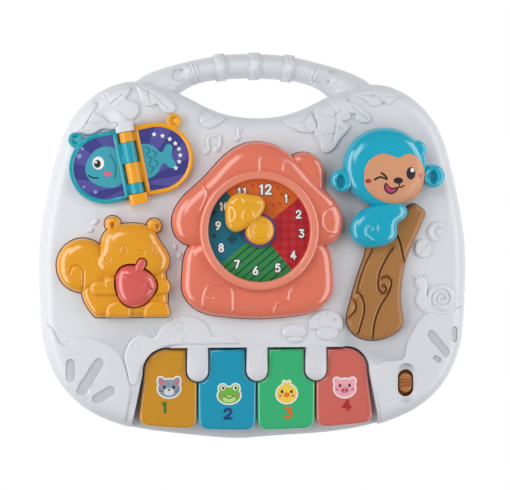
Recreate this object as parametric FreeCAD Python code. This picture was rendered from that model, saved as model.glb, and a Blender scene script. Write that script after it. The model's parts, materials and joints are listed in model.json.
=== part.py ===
"""Musical activity table: a moulded play board with a carry handle, toys on its face and four plug-in legs.

Millimetres, +Z up. The board lies flat as in use, with the handle towards +Y and the keys towards -Y.
Outlines are drawn about the board's own centre. The last step moves the whole table so that its origin
is the middle of its bounding box, on the floor.
"""
import FreeCAD, Part
import math
import os

# Levels, from the floor up
LEG_HEIGHT = 205.0
BOTTOM_SHELL_HEIGHT = 16.0
TOP_SHELL_HEIGHT = 26.0
WALL = 2.5
UNDERSIDE_Z = LEG_HEIGHT
PARTING_Z = UNDERSIDE_Z + BOTTOM_SHELL_HEIGHT
DECK_Z = PARTING_Z + TOP_SHELL_HEIGHT
CEILING_Z = DECK_Z - WALL
FLOOR_Z = UNDERSIDE_Z + WALL

# Clearances
SEAT_GAP = 0.05
RUNNING_GAP = 0.08
END_GAP = 0.3
PLAY_GAP = 0.4
SLOT_GAP = 0.6
CUT_PAST = 1.0
BEYOND = 200.0
STRAIGHT = 1e-4

# Board outline, right half, front to back, then along the lower edge of the grip hole
BOARD_RIGHT = [
    (0.0, -150.0), (52.0, -147.0), (100.0, -139.0), (139.0, -118.5), (160.0, -85.0), (165.6, -40.0),
    (165.6, 0.0), (157.0, 51.0), (140.0, 98.0), (115.0, 120.0), (94.0, 125.5), (74.0, 122.0),
    (56.0, 115.0), (30.0, 103.0),
]
GRIP_HOLE_FRONT_Y = 98.3
DECK_EDGE_RADIUS = 13.0
DECK_EDGE_INNER_BEVEL = 6.5
UNDERSIDE_EDGE_RADIUS = 6.0

# Handle stations, right half, from the middle to the buried root: x, y, half width, heading, extra height
HANDLE_STATIONS = [
    (0.0, 140.0, 9.5, 0.0, 0.0),
    (24.0, 138.8, 9.4, -8.0, 0.0),
    (47.5, 134.3, 9.3, -19.0, 0.5),
    (66.0, 126.5, 12.2, -31.0, 2.0),
    (86.0, 112.5, 14.5, -36.0, 2.5),
]
HANDLE_RISE = 16.0
HANDLE_DROP = 9.0
COLLAR_WIDTH = 7.6
COLLAR_PROUD = 1.2
COLLARS = [(-26.6, 138.6, 7.5), (0.0, 140.0, 0.0), (26.6, 138.6, -7.5)]
HANDLE_PLUG_X = 59.0
HANDLE_PLUG_Y = 131.0
HANDLE_PLUG_RADIUS = 5.0
HANDLE_PLUG_DEPTH = 5.0
HANDLE_PLUG_DROP = 0.6
HANDLE_SCREW_BITE = 6.0

# Keys and their recess
RECESS_LIP_RADIUS = 5.0
RECESS_BACK_Y = -78.5
RECESS_HALF_BACK = 66.0
RECESS_HALF_SHOULDER = 88.0
RECESS_SHOULDER_Y = -98.0
RECESS_HALF_FRONT = 104.0
RECESS_FRONT_Y = -175.0
KEY_PITCH = 45.8
KEY_GAP = 1.2
KEY_EDGE_GAP = 1.6
KEY_TONGUE_GAP = 1.0
KEYS_HALF_FRONT = 98.0
KEY_TOP_DROP = 2.6
KEY_THICKNESS = 9.0
KEY_FRONT_DROP = 4.0
KEY_FLOOR_GAP = 1.4
KEY_FRONT_Y = -142.6
KEY_FRONT_RADIUS = 800.0
KEY_CORNER_RADIUS = 8.0
KEY_EDGE_RADIUS = 2.6
KEY_HUB_RADIUS = 4.0
KEY_ARM_WIDTH = 12.0
KEY_ARM_RISE = 2.5
OUTER_ARM_SHIFT = 8.0
TONGUE_WIDTH = 16.0
TONGUE_LENGTH = 26.0
TONGUE_EDGE = 1.2
AXLE_RADIUS = 1.5
AXLE_BEHIND_EDGE = 8.0
AXLE_DROP = 9.0
AXLE_OVERHANG = 3.0
AXLE_RIB_THICKNESS = 2.4
PLUNGER_RADIUS = 3.2
PLUNGER_HOLE_RADIUS = 4.4
PLUNGER_AHEAD = 42.0
PLUNGER_REACH = 5.0
DOME_HEIGHT = 4.5
DOME_BASE_RADIUS = 5.0
DOME_BASE_HEIGHT = 1.2
DOME_CAP_RADIUS = 3.2
DOME_WALL = 0.8

# House clock
HOUSE_WALLS_RIGHT = [
    (0.0, -56.3), (26.0, -54.6), (48.0, -48.5), (57.5, -36.5), (58.0, -22.0), (53.5, -2.0), (40.0, 6.0),
]
HOUSE_WALLS_BACK_Y = 8.0
HOUSE_ROOF_RIGHT = [
    (0.0, -8.0), (30.0, -4.0), (50.5, -1.0), (61.5, 5.0), (65.8, 19.0), (57.5, 36.5), (42.0, 51.0),
    (25.0, 69.0), (12.0, 77.0),
]
HOUSE_ROOF_BACK_Y = 79.0
HOUSE_WALLS_HEIGHT = 11.0
HOUSE_ROOF_HEIGHT = 13.5
HOUSE_EDGE_RADIUS = 4.0
CHIMNEY = [(27.5, 69.0), (38.0, 71.0), (48.5, 64.0), (51.6, 50.0), (48.0, 38.0), (36.0, 48.0)]
CHIMNEY_HEIGHT = 10.0
DIAL_CENTRE_Y = 11.0
DIAL_RADIUS = 39.0
DIAL_THICKNESS = 1.6
DIAL_SEAT_HEIGHT = 9.0
BEZEL_WIDTH = 6.6
BEZEL_HEIGHT = 16.0
BEZEL_EDGE = 2.0
HUB_RING_RADIUS = 13.0
HUB_RING_THICKNESS = 1.4
HUB_RADIUS = 11.1
HUB_HEIGHT = 7.0
POINTER_SHAFT_RADIUS = 4.0
POINTER_LIFT = 1.2
POINTER_THICKNESS = 8.0
POINTER_EDGE_RADIUS = 2.4
HUB_EDGE = 1.6
POINTER_OUTLINE = [
    (0.0, 25.8), (3.9, 20.5), (1.9, 13.3), (-4.2, 6.1), (-11.0, 1.6), (-18.0, -1.4), (-24.2, 1.8),
    (-26.4, 10.5), (-25.4, 20.5), (-17.5, 28.0), (-8.0, 27.6),
]
CLIP_RADIUS = 7.0
CLIP_THICKNESS = 1.6

# Tree trunk and the rocking monkey
TRUNK_HEIGHT = 6.5
TRUNK_EDGE_RADIUS = 2.4
TRUNK_OUTLINE = [
    (123.0, 31.5), (131.0, 25.7), (124.0, 8.0), (115.7, -11.1), (112.4, -28.0), (111.9, -47.2),
    (112.6, -62.5), (101.9, -71.0), (89.6, -73.6), (76.6, -70.2), (69.7, -61.0), (71.2, -47.2),
    (74.3, -35.7), (79.5, -19.0), (84.5, -2.0), (86.5, 14.0), (97.0, 21.0), (106.5, 19.5),
]
MONKEY_LIFT = 0.8
MONKEY_THICKNESS = 11.5
MONKEY_EDGE_RADIUS = 4.2
MONKEY_WALL = 2.2
HEAD_CENTRE = (97.6, 59.8)
HEAD_RADII = (33.0, 30.7)
HAIR_TUFT = (123.6, 74.5)
HAIR_TUFT_RADIUS = 6.4
EARS = [(63.4, 49.4, 9.0), (135.2, 53.2, 9.2)]
EAR_HEIGHT = 9.0
EAR_HOLLOW_SHARE = 0.55
EAR_HOLLOW_DEPTH = 3.0
MONKEY_BODY = [
    (80.0, 27.2), (73.1, 21.1), (70.0, 11.1), (73.1, 3.2), (80.5, -1.6), (90.0, -2.0), (100.5, 0.8),
    (107.0, 8.0), (107.4, 16.2), (112.6, 20.2), (115.0, 25.5), (111.5, 31.5), (96.0, 33.0),
]
MONKEY_BODY_HEIGHT = 10.0
MONKEY_BODY_EDGE_RADIUS = 2.4
MONKEY_PIVOT = (87.7, 13.0)
PIVOT_RADIUS = 3.0
PIVOT_HEAD_RADIUS = 5.0
PIVOT_HEAD_HEIGHT = 2.0
PIVOT_BOSS_RADIUS = 6.0
FACE_PLATE_THICKNESS = 1.4
FACE_PLATE_PROUD = 0.5
FACE_OUTLINE = [
    (81.5, 51.0), (84.0, 62.0), (90.5, 69.0), (98.5, 70.6), (107.5, 68.0), (116.5, 71.2), (124.5, 67.5),
    (129.3, 58.0), (129.4, 48.5), (122.0, 36.4), (108.0, 32.3), (94.0, 34.2), (84.5, 41.5),
]

# Squirrel and acorn
SQUIRREL_TAIL = [
    (-153.0, -16.0), (-149.0, -3.0), (-136.0, 5.0), (-121.0, 1.0), (-111.0, -14.0), (-118.0, -31.0),
    (-134.5, -36.0), (-147.5, -30.0),
]
SQUIRREL_TAIL_HEIGHT = 9.0
SQUIRREL_BODY = [
    (-133.8, -38.0), (-131.0, -22.0), (-117.0, -8.0), (-95.0, -2.0), (-76.0, -8.0), (-69.8, -25.0),
    (-69.0, -45.0), (-75.0, -60.0), (-95.0, -63.0), (-115.0, -61.0), (-127.5, -50.5),
]
SQUIRREL_HEIGHT = 7.5
SQUIRREL_EDGE_RADIUS = 3.2
SQUIRREL_HEAD = [
    (-118.5, 7.3), (-112.4, 13.2), (-96.3, 16.6), (-81.0, 12.5), (-73.6, 1.2), (-69.4, -5.0),
    (-67.6, -13.5), (-72.5, -22.0), (-84.0, -26.0), (-96.3, -27.0), (-110.0, -25.5), (-122.5, -19.5),
    (-125.2, -12.5), (-121.5, -4.5),
]
SQUIRREL_HEAD_HEIGHT = 12.0
SQUIRREL_HEAD_EDGE_RADIUS = 4.0
SQUIRREL_EARS = [(-110.6, 16.0, 6.2), (-79.4, 14.6, 5.8)]
SQUIRREL_EAR_HEIGHT = 7.5
SQUIRREL_ARMS = [((-122.0, -32.5), (-106.0, -32.5), 6.2), ((-80.0, -31.5), (-73.5, -31.5), 6.6)]
SQUIRREL_ARM_HEIGHT = 10.0
SQUIRREL_FEET = [((-107.5, -50.5), (-105.5, -50.5), 9.0), ((-79.0, -50.5), (-76.5, -50.5), 9.2)]
SQUIRREL_FOOT_HEIGHT = 9.5
SQUIRREL_BASE_Y = -54.9
LIMB_EDGE = 1.8
ACORN_OUTLINE = [
    (-107.8, -20.3), (-109.3, -31.8), (-106.5, -40.0), (-101.0, -46.0), (-94.0, -47.4), (-87.0, -45.0),
    (-80.6, -38.7), (-77.0, -31.0), (-78.5, -26.0), (-84.0, -19.8), (-91.0, -15.7), (-99.0, -14.6),
    (-104.8, -16.5),
]
ACORN_STEM = ((-91.2, -17.5), (-89.0, -13.6), 3.6)
ACORN_STEM_EDGE = 1.0
ACORN_HEIGHT = 14.0
ACORN_TRAVEL = 2.4
ACORN_FLOOR_GAP = 1.0
ACORN_EDGE_RADIUS = 3.4
ACORN_CENTRE = (-94.0, -31.0)
ACORN_POST_RADIUS = 4.0
BUTTON_BOARD_DROP = 14.0

# Flip book
HINGE_CENTRE = (-96.6, 62.1)
HINGE_TURN_DEG = 11.3
HINGE_LENGTH = 47.0
KNUCKLE_RADIUS = 5.2
KNUCKLE_GAP = 0.3
HINGE_PIN_RADIUS = 1.5
BRACKET_LENGTH = 7.6
BRACKET_WIDTH = 14.2
BRACKET_HEIGHT = 10.0
BRACKET_EDGE_RADIUS = 3.6
PIN_SINK = 1.0
LEAF_THICKNESS = 4.6
LEAF_GAP = 0.15
LEAF_REACH = 47.3
LEAF_START = 6.4
LEAF_STRAIGHT = 20.0
LEAF_HALF_HEIGHT = 26.9
LEAF_TAB = (37.8, 25.2)
LEAF_TAB_RADIUS = 5.6
LEAF_TAB_HOLLOW = 3.0
LEAF_RIM = 3.4
LEAF_EDGE = 0.8
PLATE_DEPTH = 1.2
PLATE_THICKNESS = 0.8

# Power switch
SWITCH_CENTRE = (116.0, -107.0)
SWITCH_SLOT_WIDTH = 12.2
SWITCH_SLOT_LENGTH = 21.0
SWITCH_DISH_WIDTH = 15.0
SWITCH_DISH_LENGTH = 31.0
SWITCH_DISH_DEPTH = 1.0
SWITCH_KNOB_WIDTH = 9.8
SWITCH_KNOB_LENGTH = 14.8
SWITCH_KNOB_EDGE = 0.8
SWITCH_TRAVEL = 2.5
SWITCH_FLANGE_LAP = 1.5
SWITCH_FLANGE_DROP = 2.0
SWITCH_FLANGE_THICKNESS = 1.4
SWITCH_GROOVE_PITCH = 2.4
SWITCH_GROOVE_WIDTH = 1.0
SWITCH_GROOVE_DEPTH = 0.8
SWITCH_CASE_WIDTH = 11.0
SWITCH_CASE_LENGTH = 22.0
SWITCH_EAR_THICKNESS = 1.0
SWITCH_BODY_HEIGHT = 7.0
SWITCH_STEM_RADIUS = 1.6
SWITCH_STEM_LENGTH = 3.0
SWITCH_POST_RADIUS = 2.5

# Electronics
BOARD_THICKNESS = 1.6
CIRCUIT_HALF_LENGTH = 82.0
CIRCUIT_WIDTH = 26.0
CIRCUIT_POST_RADIUS = 3.0
BUTTON_BOARD_SIDE = 22.0
BUTTON_POST_RADIUS = 2.0
SPEAKER_CENTRE = (78.0, 48.0)
SPEAKER_RADIUS = 25.0
SPEAKER_RIM = 2.0
SPEAKER_SEAT = 2.0
SPEAKER_BASKET_DEPTH = 6.0
SPEAKER_BASKET_RADIUS = 19.0
SPEAKER_MAGNET_RADIUS = 14.0
SPEAKER_MAGNET_HEIGHT = 7.0
GRILLE_SLOT_WIDTH = 2.4
GRILLE_SLOTS = 7
GRILLE_PITCH = 5.4
BATTERY_RADIUS = 7.25
BATTERY_LENGTH = 50.5
BATTERY_COUNT = 3
BATTERY_PITCH = 15.5
BAY_CENTRE = (0.0, 12.0)
BAY_MARGIN = 2.0
CONTACT_ROOM = 6.0
DOOR_THICKNESS = 2.0
DOOR_LIP = 3.0
DOOR_SCREW_RADIUS = 1.4
DOOR_SCREW_HEAD_RADIUS = 2.8
DOOR_SCREW_HEAD_HEIGHT = 1.0
DOOR_SCREW_BITE = 8.0
DOOR_SCREW_LAND = 9.0
DOOR_BOSS_RADIUS = 4.2
CONTACT_SIDE = 11.0
CONTACT_THICKNESS = 0.5
CONTACT_SPRING_RADIUS = 3.2

# Shell screws
SCREW_POINTS = [(-142.0, 14.0), (142.0, 14.0), (-66.0, 88.0), (40.0, 88.0), (-58.0, -54.0), (58.0, -54.0)]
SCREW_RADIUS = 1.4
SCREW_HEAD_RADIUS = 2.9
SCREW_HEAD_HEIGHT = 2.0
SCREW_SINK = 6.0
SCREW_BITE = 7.0
BOSS_RADIUS = 5.0

# Legs
LEG_POINTS = [(118.0, 80.0), (-118.0, 80.0), (-118.0, -88.0), (118.0, -88.0)]
LEG_RADIUS = 12.0
LEG_PLUG_RADIUS = 9.0
LEG_PLUG_LENGTH = 12.0
LEG_WALL = 2.5
SOCKET_WALL = 2.5
FOOT_HEIGHT = 9.0
FOOT_BASE = 2.6
FOOT_WALL = 1.8
FOOT_EDGE = 1.2


def vec(x, y, z=0.0):
    """A point or direction."""
    return FreeCAD.Vector(x, y, z)


UP = vec(0, 0, 1)


def mirrored(right_half, back_y):
    """A closed outline from its right half, which starts on the middle line, and its back middle point."""
    left_half = [(-x, y) for x, y in reversed(right_half) if x > 0]
    return right_half + [(0.0, back_y)] + left_half


def counter_clockwise(points):
    """The same closed outline, listed counter-clockwise."""
    twice_area = sum(a[0] * b[1] - b[0] * a[1] for a, b in zip(points, points[1:] + points[:1]))
    return points if twice_area > 0 else points[::-1]


def arc_from(start, heading, end, grow):
    """The arc that leaves start along heading and reaches end, moved by grow to the right of its heading."""
    chord = end - start
    left = vec(-heading.y, heading.x)
    half_turn = math.atan2(left.dot(chord), heading.dot(chord))
    if abs(half_turn) < STRAIGHT:
        return Part.LineSegment(start - left * grow, end - left * grow).toShape()
    radius = chord.Length / (2 * math.sin(half_turn))
    share = (radius + grow) / radius
    if share <= 0:
        raise ValueError("an outline bends too sharply at %s" % start)
    centre = start + left * radius
    middle = centre + (heading * math.sin(half_turn) - left * math.cos(half_turn)) * radius
    return Part.Arc(*[centre + (point - centre) * share for point in (start, middle, end)]).toShape()


def arc_pair(start, ahead, end, behind, grow):
    """Two tangent arcs from one point and heading to the next, moved by grow to the right."""
    chord = end - start
    along = chord.dot(ahead + behind)
    spread = 2 * (1 - ahead.dot(behind))
    reach = chord.dot(chord) / (along + math.sqrt(along ** 2 + spread * chord.dot(chord)))
    first = start + ahead * reach
    last = end - behind * reach
    joint = (first + last) * 0.5
    heading = (last - first).normalize()
    return [arc_from(start, ahead, joint, grow), arc_from(joint, heading, end, grow)]


def closed_arcs(points, grow=0.0):
    """One smooth closed wire of tangent arcs through an outline's points, moved outwards by grow."""
    points = [vec(x, y) for x, y in counter_clockwise(points)]
    curve = Part.BSplineCurve()
    curve.interpolate(Points=points, PeriodicFlag=True)
    headings = [curve.tangent(curve.parameter(point))[0].normalize() for point in points]
    edges = []
    for number, point in enumerate(points):
        edges += arc_pair(points[number - 1], headings[number - 1], point, headings[number], grow)
    return Part.Wire(edges)


def slab(points, low, high, grow=0.0):
    """A flat solid with a smooth closed outline, from one level to another."""
    face = Part.Face(closed_arcs(points, grow))
    face.translate(vec(0, 0, low))
    return face.extrude(vec(0, 0, high - low))


def edges_at(solid, level):
    """The edges that lie wholly at one level."""
    found = []
    for edge in solid.Edges:
        box = edge.BoundBox
        if abs(box.ZMin - level) < 0.01 and abs(box.ZMax - level) < 0.01:
            found.append(edge)
    return found


def rounded(solid, radius, level):
    """The solid with every edge at one level rounded."""
    return solid.makeFillet(radius, edges_at(solid, level))


def bevelled(solid, width, level):
    """The solid with every edge at one level cut off at 45 degrees."""
    return solid.makeChamfer(width, edges_at(solid, level))


def pad(points, low, high, radius):
    """A smooth slab whose top edge is rounded."""
    return rounded(slab(points, low, high), radius, high)


def rod(x, y, low, high, radius):
    """An upright cylinder."""
    return Part.makeCylinder(radius, high - low, vec(x, y, low))


def tube(x, y, low, high, outer, inner):
    """An upright tube."""
    return rod(x, y, low, high, outer).cut(rod(x, y, low, high, inner))


def block(x_low, x_high, y_low, y_high, z_low, z_high):
    """A box between its limits."""
    return Part.makeBox(x_high - x_low, y_high - y_low, z_high - z_low, vec(x_low, y_low, z_low))


def capsule(start, end, radius, low, high):
    """An upright slab with round ends about two points."""
    along = vec(end[0] - start[0], end[1] - start[1])
    along.normalize()
    side = vec(-along.y, along.x) * radius
    first = vec(start[0], start[1], low)
    last = vec(end[0], end[1], low)
    edges = [
        Part.LineSegment(first - side, last - side).toShape(),
        Part.Arc(last - side, last + along * radius, last + side).toShape(),
        Part.LineSegment(last + side, first + side).toShape(),
        Part.Arc(first + side, first - along * radius, first - side).toShape(),
    ]
    return Part.Face(Part.Wire(edges)).extrude(vec(0, 0, high - low))


def joined(solids):
    """Several solids as one."""
    return solids[0].fuse(solids[1:])


def group(solids):
    """Several separate solids in one node."""
    return Part.makeCompound(solids)


def screw(x, y, head_z, length, radius, head_radius, head_height):
    """A pan-head screw driven upwards, with its head below head_z."""
    head = rod(x, y, head_z - head_height, head_z, head_radius)
    return joined([head, rod(x, y, head_z, head_z + length, radius)])


BOARD_OUTLINE = mirrored(BOARD_RIGHT, GRIP_HOLE_FRONT_Y)
PLUG_TOP_Z = PARTING_Z + HANDLE_RISE - HANDLE_PLUG_DROP
PLUG_BOTTOM_Z = PLUG_TOP_Z - HANDLE_PLUG_DEPTH
HANDLE_SCREW_Z = PLUG_BOTTOM_Z - SCREW_HEAD_HEIGHT
AXLE_Y = RECESS_BACK_Y + AXLE_BEHIND_EDGE
AXLE_Z = DECK_Z - AXLE_DROP
OUTER_RIB_X = 1.5 * KEY_PITCH - OUTER_ARM_SHIFT + KEY_ARM_WIDTH / 2 + AXLE_RIB_THICKNESS
AXLE_HALF_LENGTH = OUTER_RIB_X + AXLE_OVERHANG
KEY_TOP_Z = DECK_Z - KEY_TOP_DROP
KEY_BOTTOM_Z = KEY_TOP_Z - KEY_THICKNESS
RECESS_FLOOR_Z = KEY_BOTTOM_Z - KEY_FRONT_DROP - KEY_FLOOR_GAP
PLUNGER_Y = AXLE_Y - PLUNGER_AHEAD
PLUNGER_END_Z = RECESS_FLOOR_Z - WALL - PLUNGER_REACH
CIRCUIT_TOP_Z = PLUNGER_END_Z - END_GAP - DOME_HEIGHT
BUTTON_BOARD_Z = CEILING_Z - BUTTON_BOARD_DROP
ACORN_LOW_Z = DECK_Z + ACORN_TRAVEL + ACORN_FLOOR_GAP
DIAL_Z = DECK_Z + DIAL_SEAT_HEIGHT
HUB_RING_Z = DIAL_Z + DIAL_THICKNESS + END_GAP
HUB_Z = HUB_RING_Z + HUB_RING_THICKNESS
CLIP_TOP_Z = DIAL_Z - WALL - END_GAP
HINGE_Z = DECK_Z + KNUCKLE_RADIUS + PLAY_GAP
KNUCKLE_SPLIT = HINGE_LENGTH / 3
RIGHT_KNUCKLES = [(KNUCKLE_SPLIT, HINGE_LENGTH / 2), (-KNUCKLE_SPLIT, 0.0)]
LEFT_KNUCKLES = [(0.0, KNUCKLE_SPLIT), (-HINGE_LENGTH / 2, -KNUCKLE_SPLIT)]
TRUNK_TOP_Z = DECK_Z + TRUNK_HEIGHT
MONKEY_Z = TRUNK_TOP_Z + MONKEY_LIFT
HEAD_TOP_Z = MONKEY_Z + MONKEY_THICKNESS
FACE_SEAT_Z = HEAD_TOP_Z - FACE_PLATE_THICKNESS + FACE_PLATE_PROUD
SWITCH_FLANGE_TOP_Z = CEILING_Z - SWITCH_FLANGE_DROP
SWITCH_FLANGE_LOW_Z = SWITCH_FLANGE_TOP_Z - SWITCH_FLANGE_THICKNESS
SWITCH_FLANGE_WIDTH = SWITCH_SLOT_WIDTH + 2 * SWITCH_FLANGE_LAP
SWITCH_FLANGE_LENGTH = SWITCH_SLOT_LENGTH + 2 * SWITCH_TRAVEL
SWITCH_PLATE_Z = SWITCH_FLANGE_LOW_Z - END_GAP
DOOR_TOP_Z = UNDERSIDE_Z + DOOR_THICKNESS
BAY_HALF_X = BATTERY_LENGTH / 2 + CONTACT_ROOM
BAY_HALF_Y = BATTERY_PITCH * BATTERY_COUNT / 2 + BAY_MARGIN
BATTERY_Z = DOOR_TOP_Z + END_GAP + BATTERY_RADIUS
BAY_ROOF_Z = BATTERY_Z + BATTERY_RADIUS + PLAY_GAP
SPEAKER_SEAT_Z = FLOOR_Z + SPEAKER_SEAT


def handle_section(station, rise, grow=0.0, upper=True):
    """Half of the handle's oval section at one station, above or below the parting line."""
    x, y, half_width, heading, extra = station
    across = half_width + grow
    height = rise + (extra if upper else 0.0) + grow
    centre = vec(x, y, PARTING_Z)
    turn = math.radians(heading)
    side = vec(-math.sin(turn), math.cos(turn)) * across
    crown = vec(0, 0, height if upper else -height)
    if height > across:
        oval = Part.Ellipse(centre + crown, centre + side, centre)
    else:
        oval = Part.Ellipse(centre + side, centre + crown, centre)
    start = oval.parameter(centre + side)
    middle = oval.parameter(centre + crown)
    end = oval.parameter(centre - side)
    turned_back = (middle - start) % (2 * math.pi) > math.pi
    first, last = (end, start) if turned_back else (start, end)
    arc = Part.ArcOfEllipse(oval, first, last if last > first else last + 2 * math.pi)
    base = Part.LineSegment(arc.EndPoint, arc.StartPoint)
    return Part.Wire([arc.toShape(), base.toShape()])


def handle_bar(rise, upper):
    """Half of the bowed carry handle, lofted through its stations from root to root."""
    stations = [(-x, y, w, -a, h) for x, y, w, a, h in reversed(HANDLE_STATIONS[1:])] + HANDLE_STATIONS
    return Part.makeLoft([handle_section(station, rise, 0.0, upper) for station in stations], True, False)


def handle_collars(rise, upper):
    """Three raised collars round the handle."""
    collars = []
    for x, y, heading in COLLARS:
        half_width = HANDLE_STATIONS[0][2]
        section = handle_section((x, y, half_width, heading, 0.0), rise, COLLAR_PROUD, upper)
        turn = math.radians(heading)
        along = vec(math.cos(turn), math.sin(turn)) * COLLAR_WIDTH
        section.translate(along * -0.5)
        collars.append(Part.Face(section).extrude(along))
    return collars


def recess_outline(grow=0.0, half_front=RECESS_HALF_FRONT):
    """Outline of the key recess, open past the front of the board, with rounded back corners."""
    back = RECESS_BACK_Y + grow
    near = RECESS_HALF_BACK
    wide = RECESS_HALF_SHOULDER + grow
    front = half_front + grow
    bend = (near + (wide - near) * 0.76, back - (back - RECESS_SHOULDER_Y) * 0.26)
    edges = [
        Part.LineSegment(vec(-near, back), vec(near, back)),
        Part.Arc(vec(near, back), vec(*bend), vec(wide, RECESS_SHOULDER_Y)),
        Part.LineSegment(vec(wide, RECESS_SHOULDER_Y), vec(front, RECESS_FRONT_Y)),
        Part.LineSegment(vec(front, RECESS_FRONT_Y), vec(-front, RECESS_FRONT_Y)),
        Part.LineSegment(vec(-front, RECESS_FRONT_Y), vec(-wide, RECESS_SHOULDER_Y)),
        Part.Arc(vec(-wide, RECESS_SHOULDER_Y), vec(-bend[0], bend[1]), vec(-near, back)),
    ]
    return Part.Face(Part.Wire([edge.toShape() for edge in edges]))


def recess_block(grow, low, high, half_front=RECESS_HALF_FRONT):
    """The room of the key recess between two levels."""
    face = recess_outline(grow, half_front)
    face.translate(vec(0, 0, low))
    return face.extrude(vec(0, 0, high - low))


def key_centre_x(index):
    """Middle of one key's column, counted from the left."""
    return (index - 1.5) * KEY_PITCH


def tongue_x():
    """Middles of the three tongues, one over each gap between keys."""
    return [-KEY_PITCH, 0.0, KEY_PITCH]


def tongue(x, grow, low, high, edge=0.0):
    """One black-key tongue: round at its front end, flat at the inner face of the recess wall."""
    back = (x, RECESS_BACK_Y + TONGUE_WIDTH)
    front = (x, RECESS_BACK_Y - TONGUE_LENGTH + TONGUE_WIDTH / 2)
    bar = capsule(back, front, TONGUE_WIDTH / 2 + grow, low, high)
    if edge:
        bar = bevelled(bar, edge, high)
    behind = RECESS_BACK_Y + WALL
    return bar.cut(block(x - TONGUE_WIDTH, x + TONGUE_WIDTH, behind, 0, low - CUT_PAST, high + CUT_PAST))


def board_block(low, high, edge_radius, edge_level):
    """The board's smooth block with one rolled edge."""
    return rounded(slab(BOARD_OUTLINE, low, high), edge_radius, edge_level)


def hinge_place(shape):
    """Turn and move a shape from the hinge's own axes, with its pin along Y, to its place on the deck."""
    shape.rotate(vec(0, 0, 0), UP, HINGE_TURN_DEG)
    shape.translate(vec(HINGE_CENTRE[0], HINGE_CENTRE[1], HINGE_Z))
    return shape


def hinge_cylinder(y_low, y_high, radius):
    """A cylinder about the hinge pin, in the hinge's own axes."""
    return Part.makeCylinder(radius, y_high - y_low, vec(0, y_low, 0), vec(0, 1, 0))


def hinge_block(y_low, y_high, bore):
    """One end bracket of the hinge: a block with a rounded crown that stands on the deck."""
    drop = HINGE_Z - DECK_Z
    base = block(-BRACKET_WIDTH / 2, BRACKET_WIDTH / 2, y_low, y_high, -drop, BRACKET_HEIGHT - drop)
    uprights = [edge for edge in base.Edges if abs(edge.BoundBox.YLength - (y_high - y_low)) < 0.01
                and abs(edge.BoundBox.ZMin - (BRACKET_HEIGHT - drop)) < 0.01]
    base = base.makeFillet(BRACKET_EDGE_RADIUS, uprights)
    return base.cut(hinge_cylinder(y_low - CUT_PAST, y_high + CUT_PAST, bore))


def key_arm_x(index):
    """Middle of one key's hinge arm. The outer arms sit inwards, clear of the recess's round corners."""
    x = key_centre_x(index)
    if index == 0:
        return x + OUTER_ARM_SHIFT
    if index == 3:
        return x - OUTER_ARM_SHIFT
    return x


def axle_bar(x_low, x_high, radius):
    """A cylinder along X about the key axle."""
    return Part.makeCylinder(radius, x_high - x_low, vec(x_low, AXLE_Y, AXLE_Z), vec(1, 0, 0))


def axle_ribs():
    """Five ribs under the deck that hold the key axle."""
    ribs = []
    for x in (-OUTER_RIB_X, -KEY_PITCH, 0.0, KEY_PITCH, OUTER_RIB_X):
        half = AXLE_RIB_THICKNESS / 2
        rib = block(x - half, x + half, AXLE_Y - KEY_HUB_RADIUS, AXLE_Y + KEY_HUB_RADIUS,
                    AXLE_Z - KEY_HUB_RADIUS, CEILING_Z)
        ribs.append(rib.cut(axle_bar(x - half - CUT_PAST, x + half + CUT_PAST, AXLE_RADIUS + SEAT_GAP)))
    return ribs


def switch_capsule(width, length, low, high, shift=0.0):
    """An upright slab with round ends, lengthways along Y, about the power switch."""
    x, y = SWITCH_CENTRE
    reach = (length - width) / 2
    return capsule((x, y + shift - reach), (x, y + shift + reach), width / 2, low, high)


def switch_post_x():
    """Places of the two posts that carry the power switch, one on each side of the knob's flange."""
    reach = SWITCH_FLANGE_WIDTH / 2 + SLOT_GAP + SWITCH_POST_RADIUS
    return [SWITCH_CENTRE[0] - reach, SWITCH_CENTRE[0] + reach]


def button_posts(radius, low, high):
    """Four posts at the corners of the button board."""
    reach = BUTTON_BOARD_SIDE / 2 - BUTTON_POST_RADIUS
    x, y = ACORN_CENTRE
    return [rod(x + a * reach, y + b * reach, low, high, radius) for a in (-1, 1) for b in (-1, 1)]


def handle_plug_points():
    """Places of the two screw plugs on the handle."""
    return [(-HANDLE_PLUG_X, HANDLE_PLUG_Y), (HANDLE_PLUG_X, HANDLE_PLUG_Y)]


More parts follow.
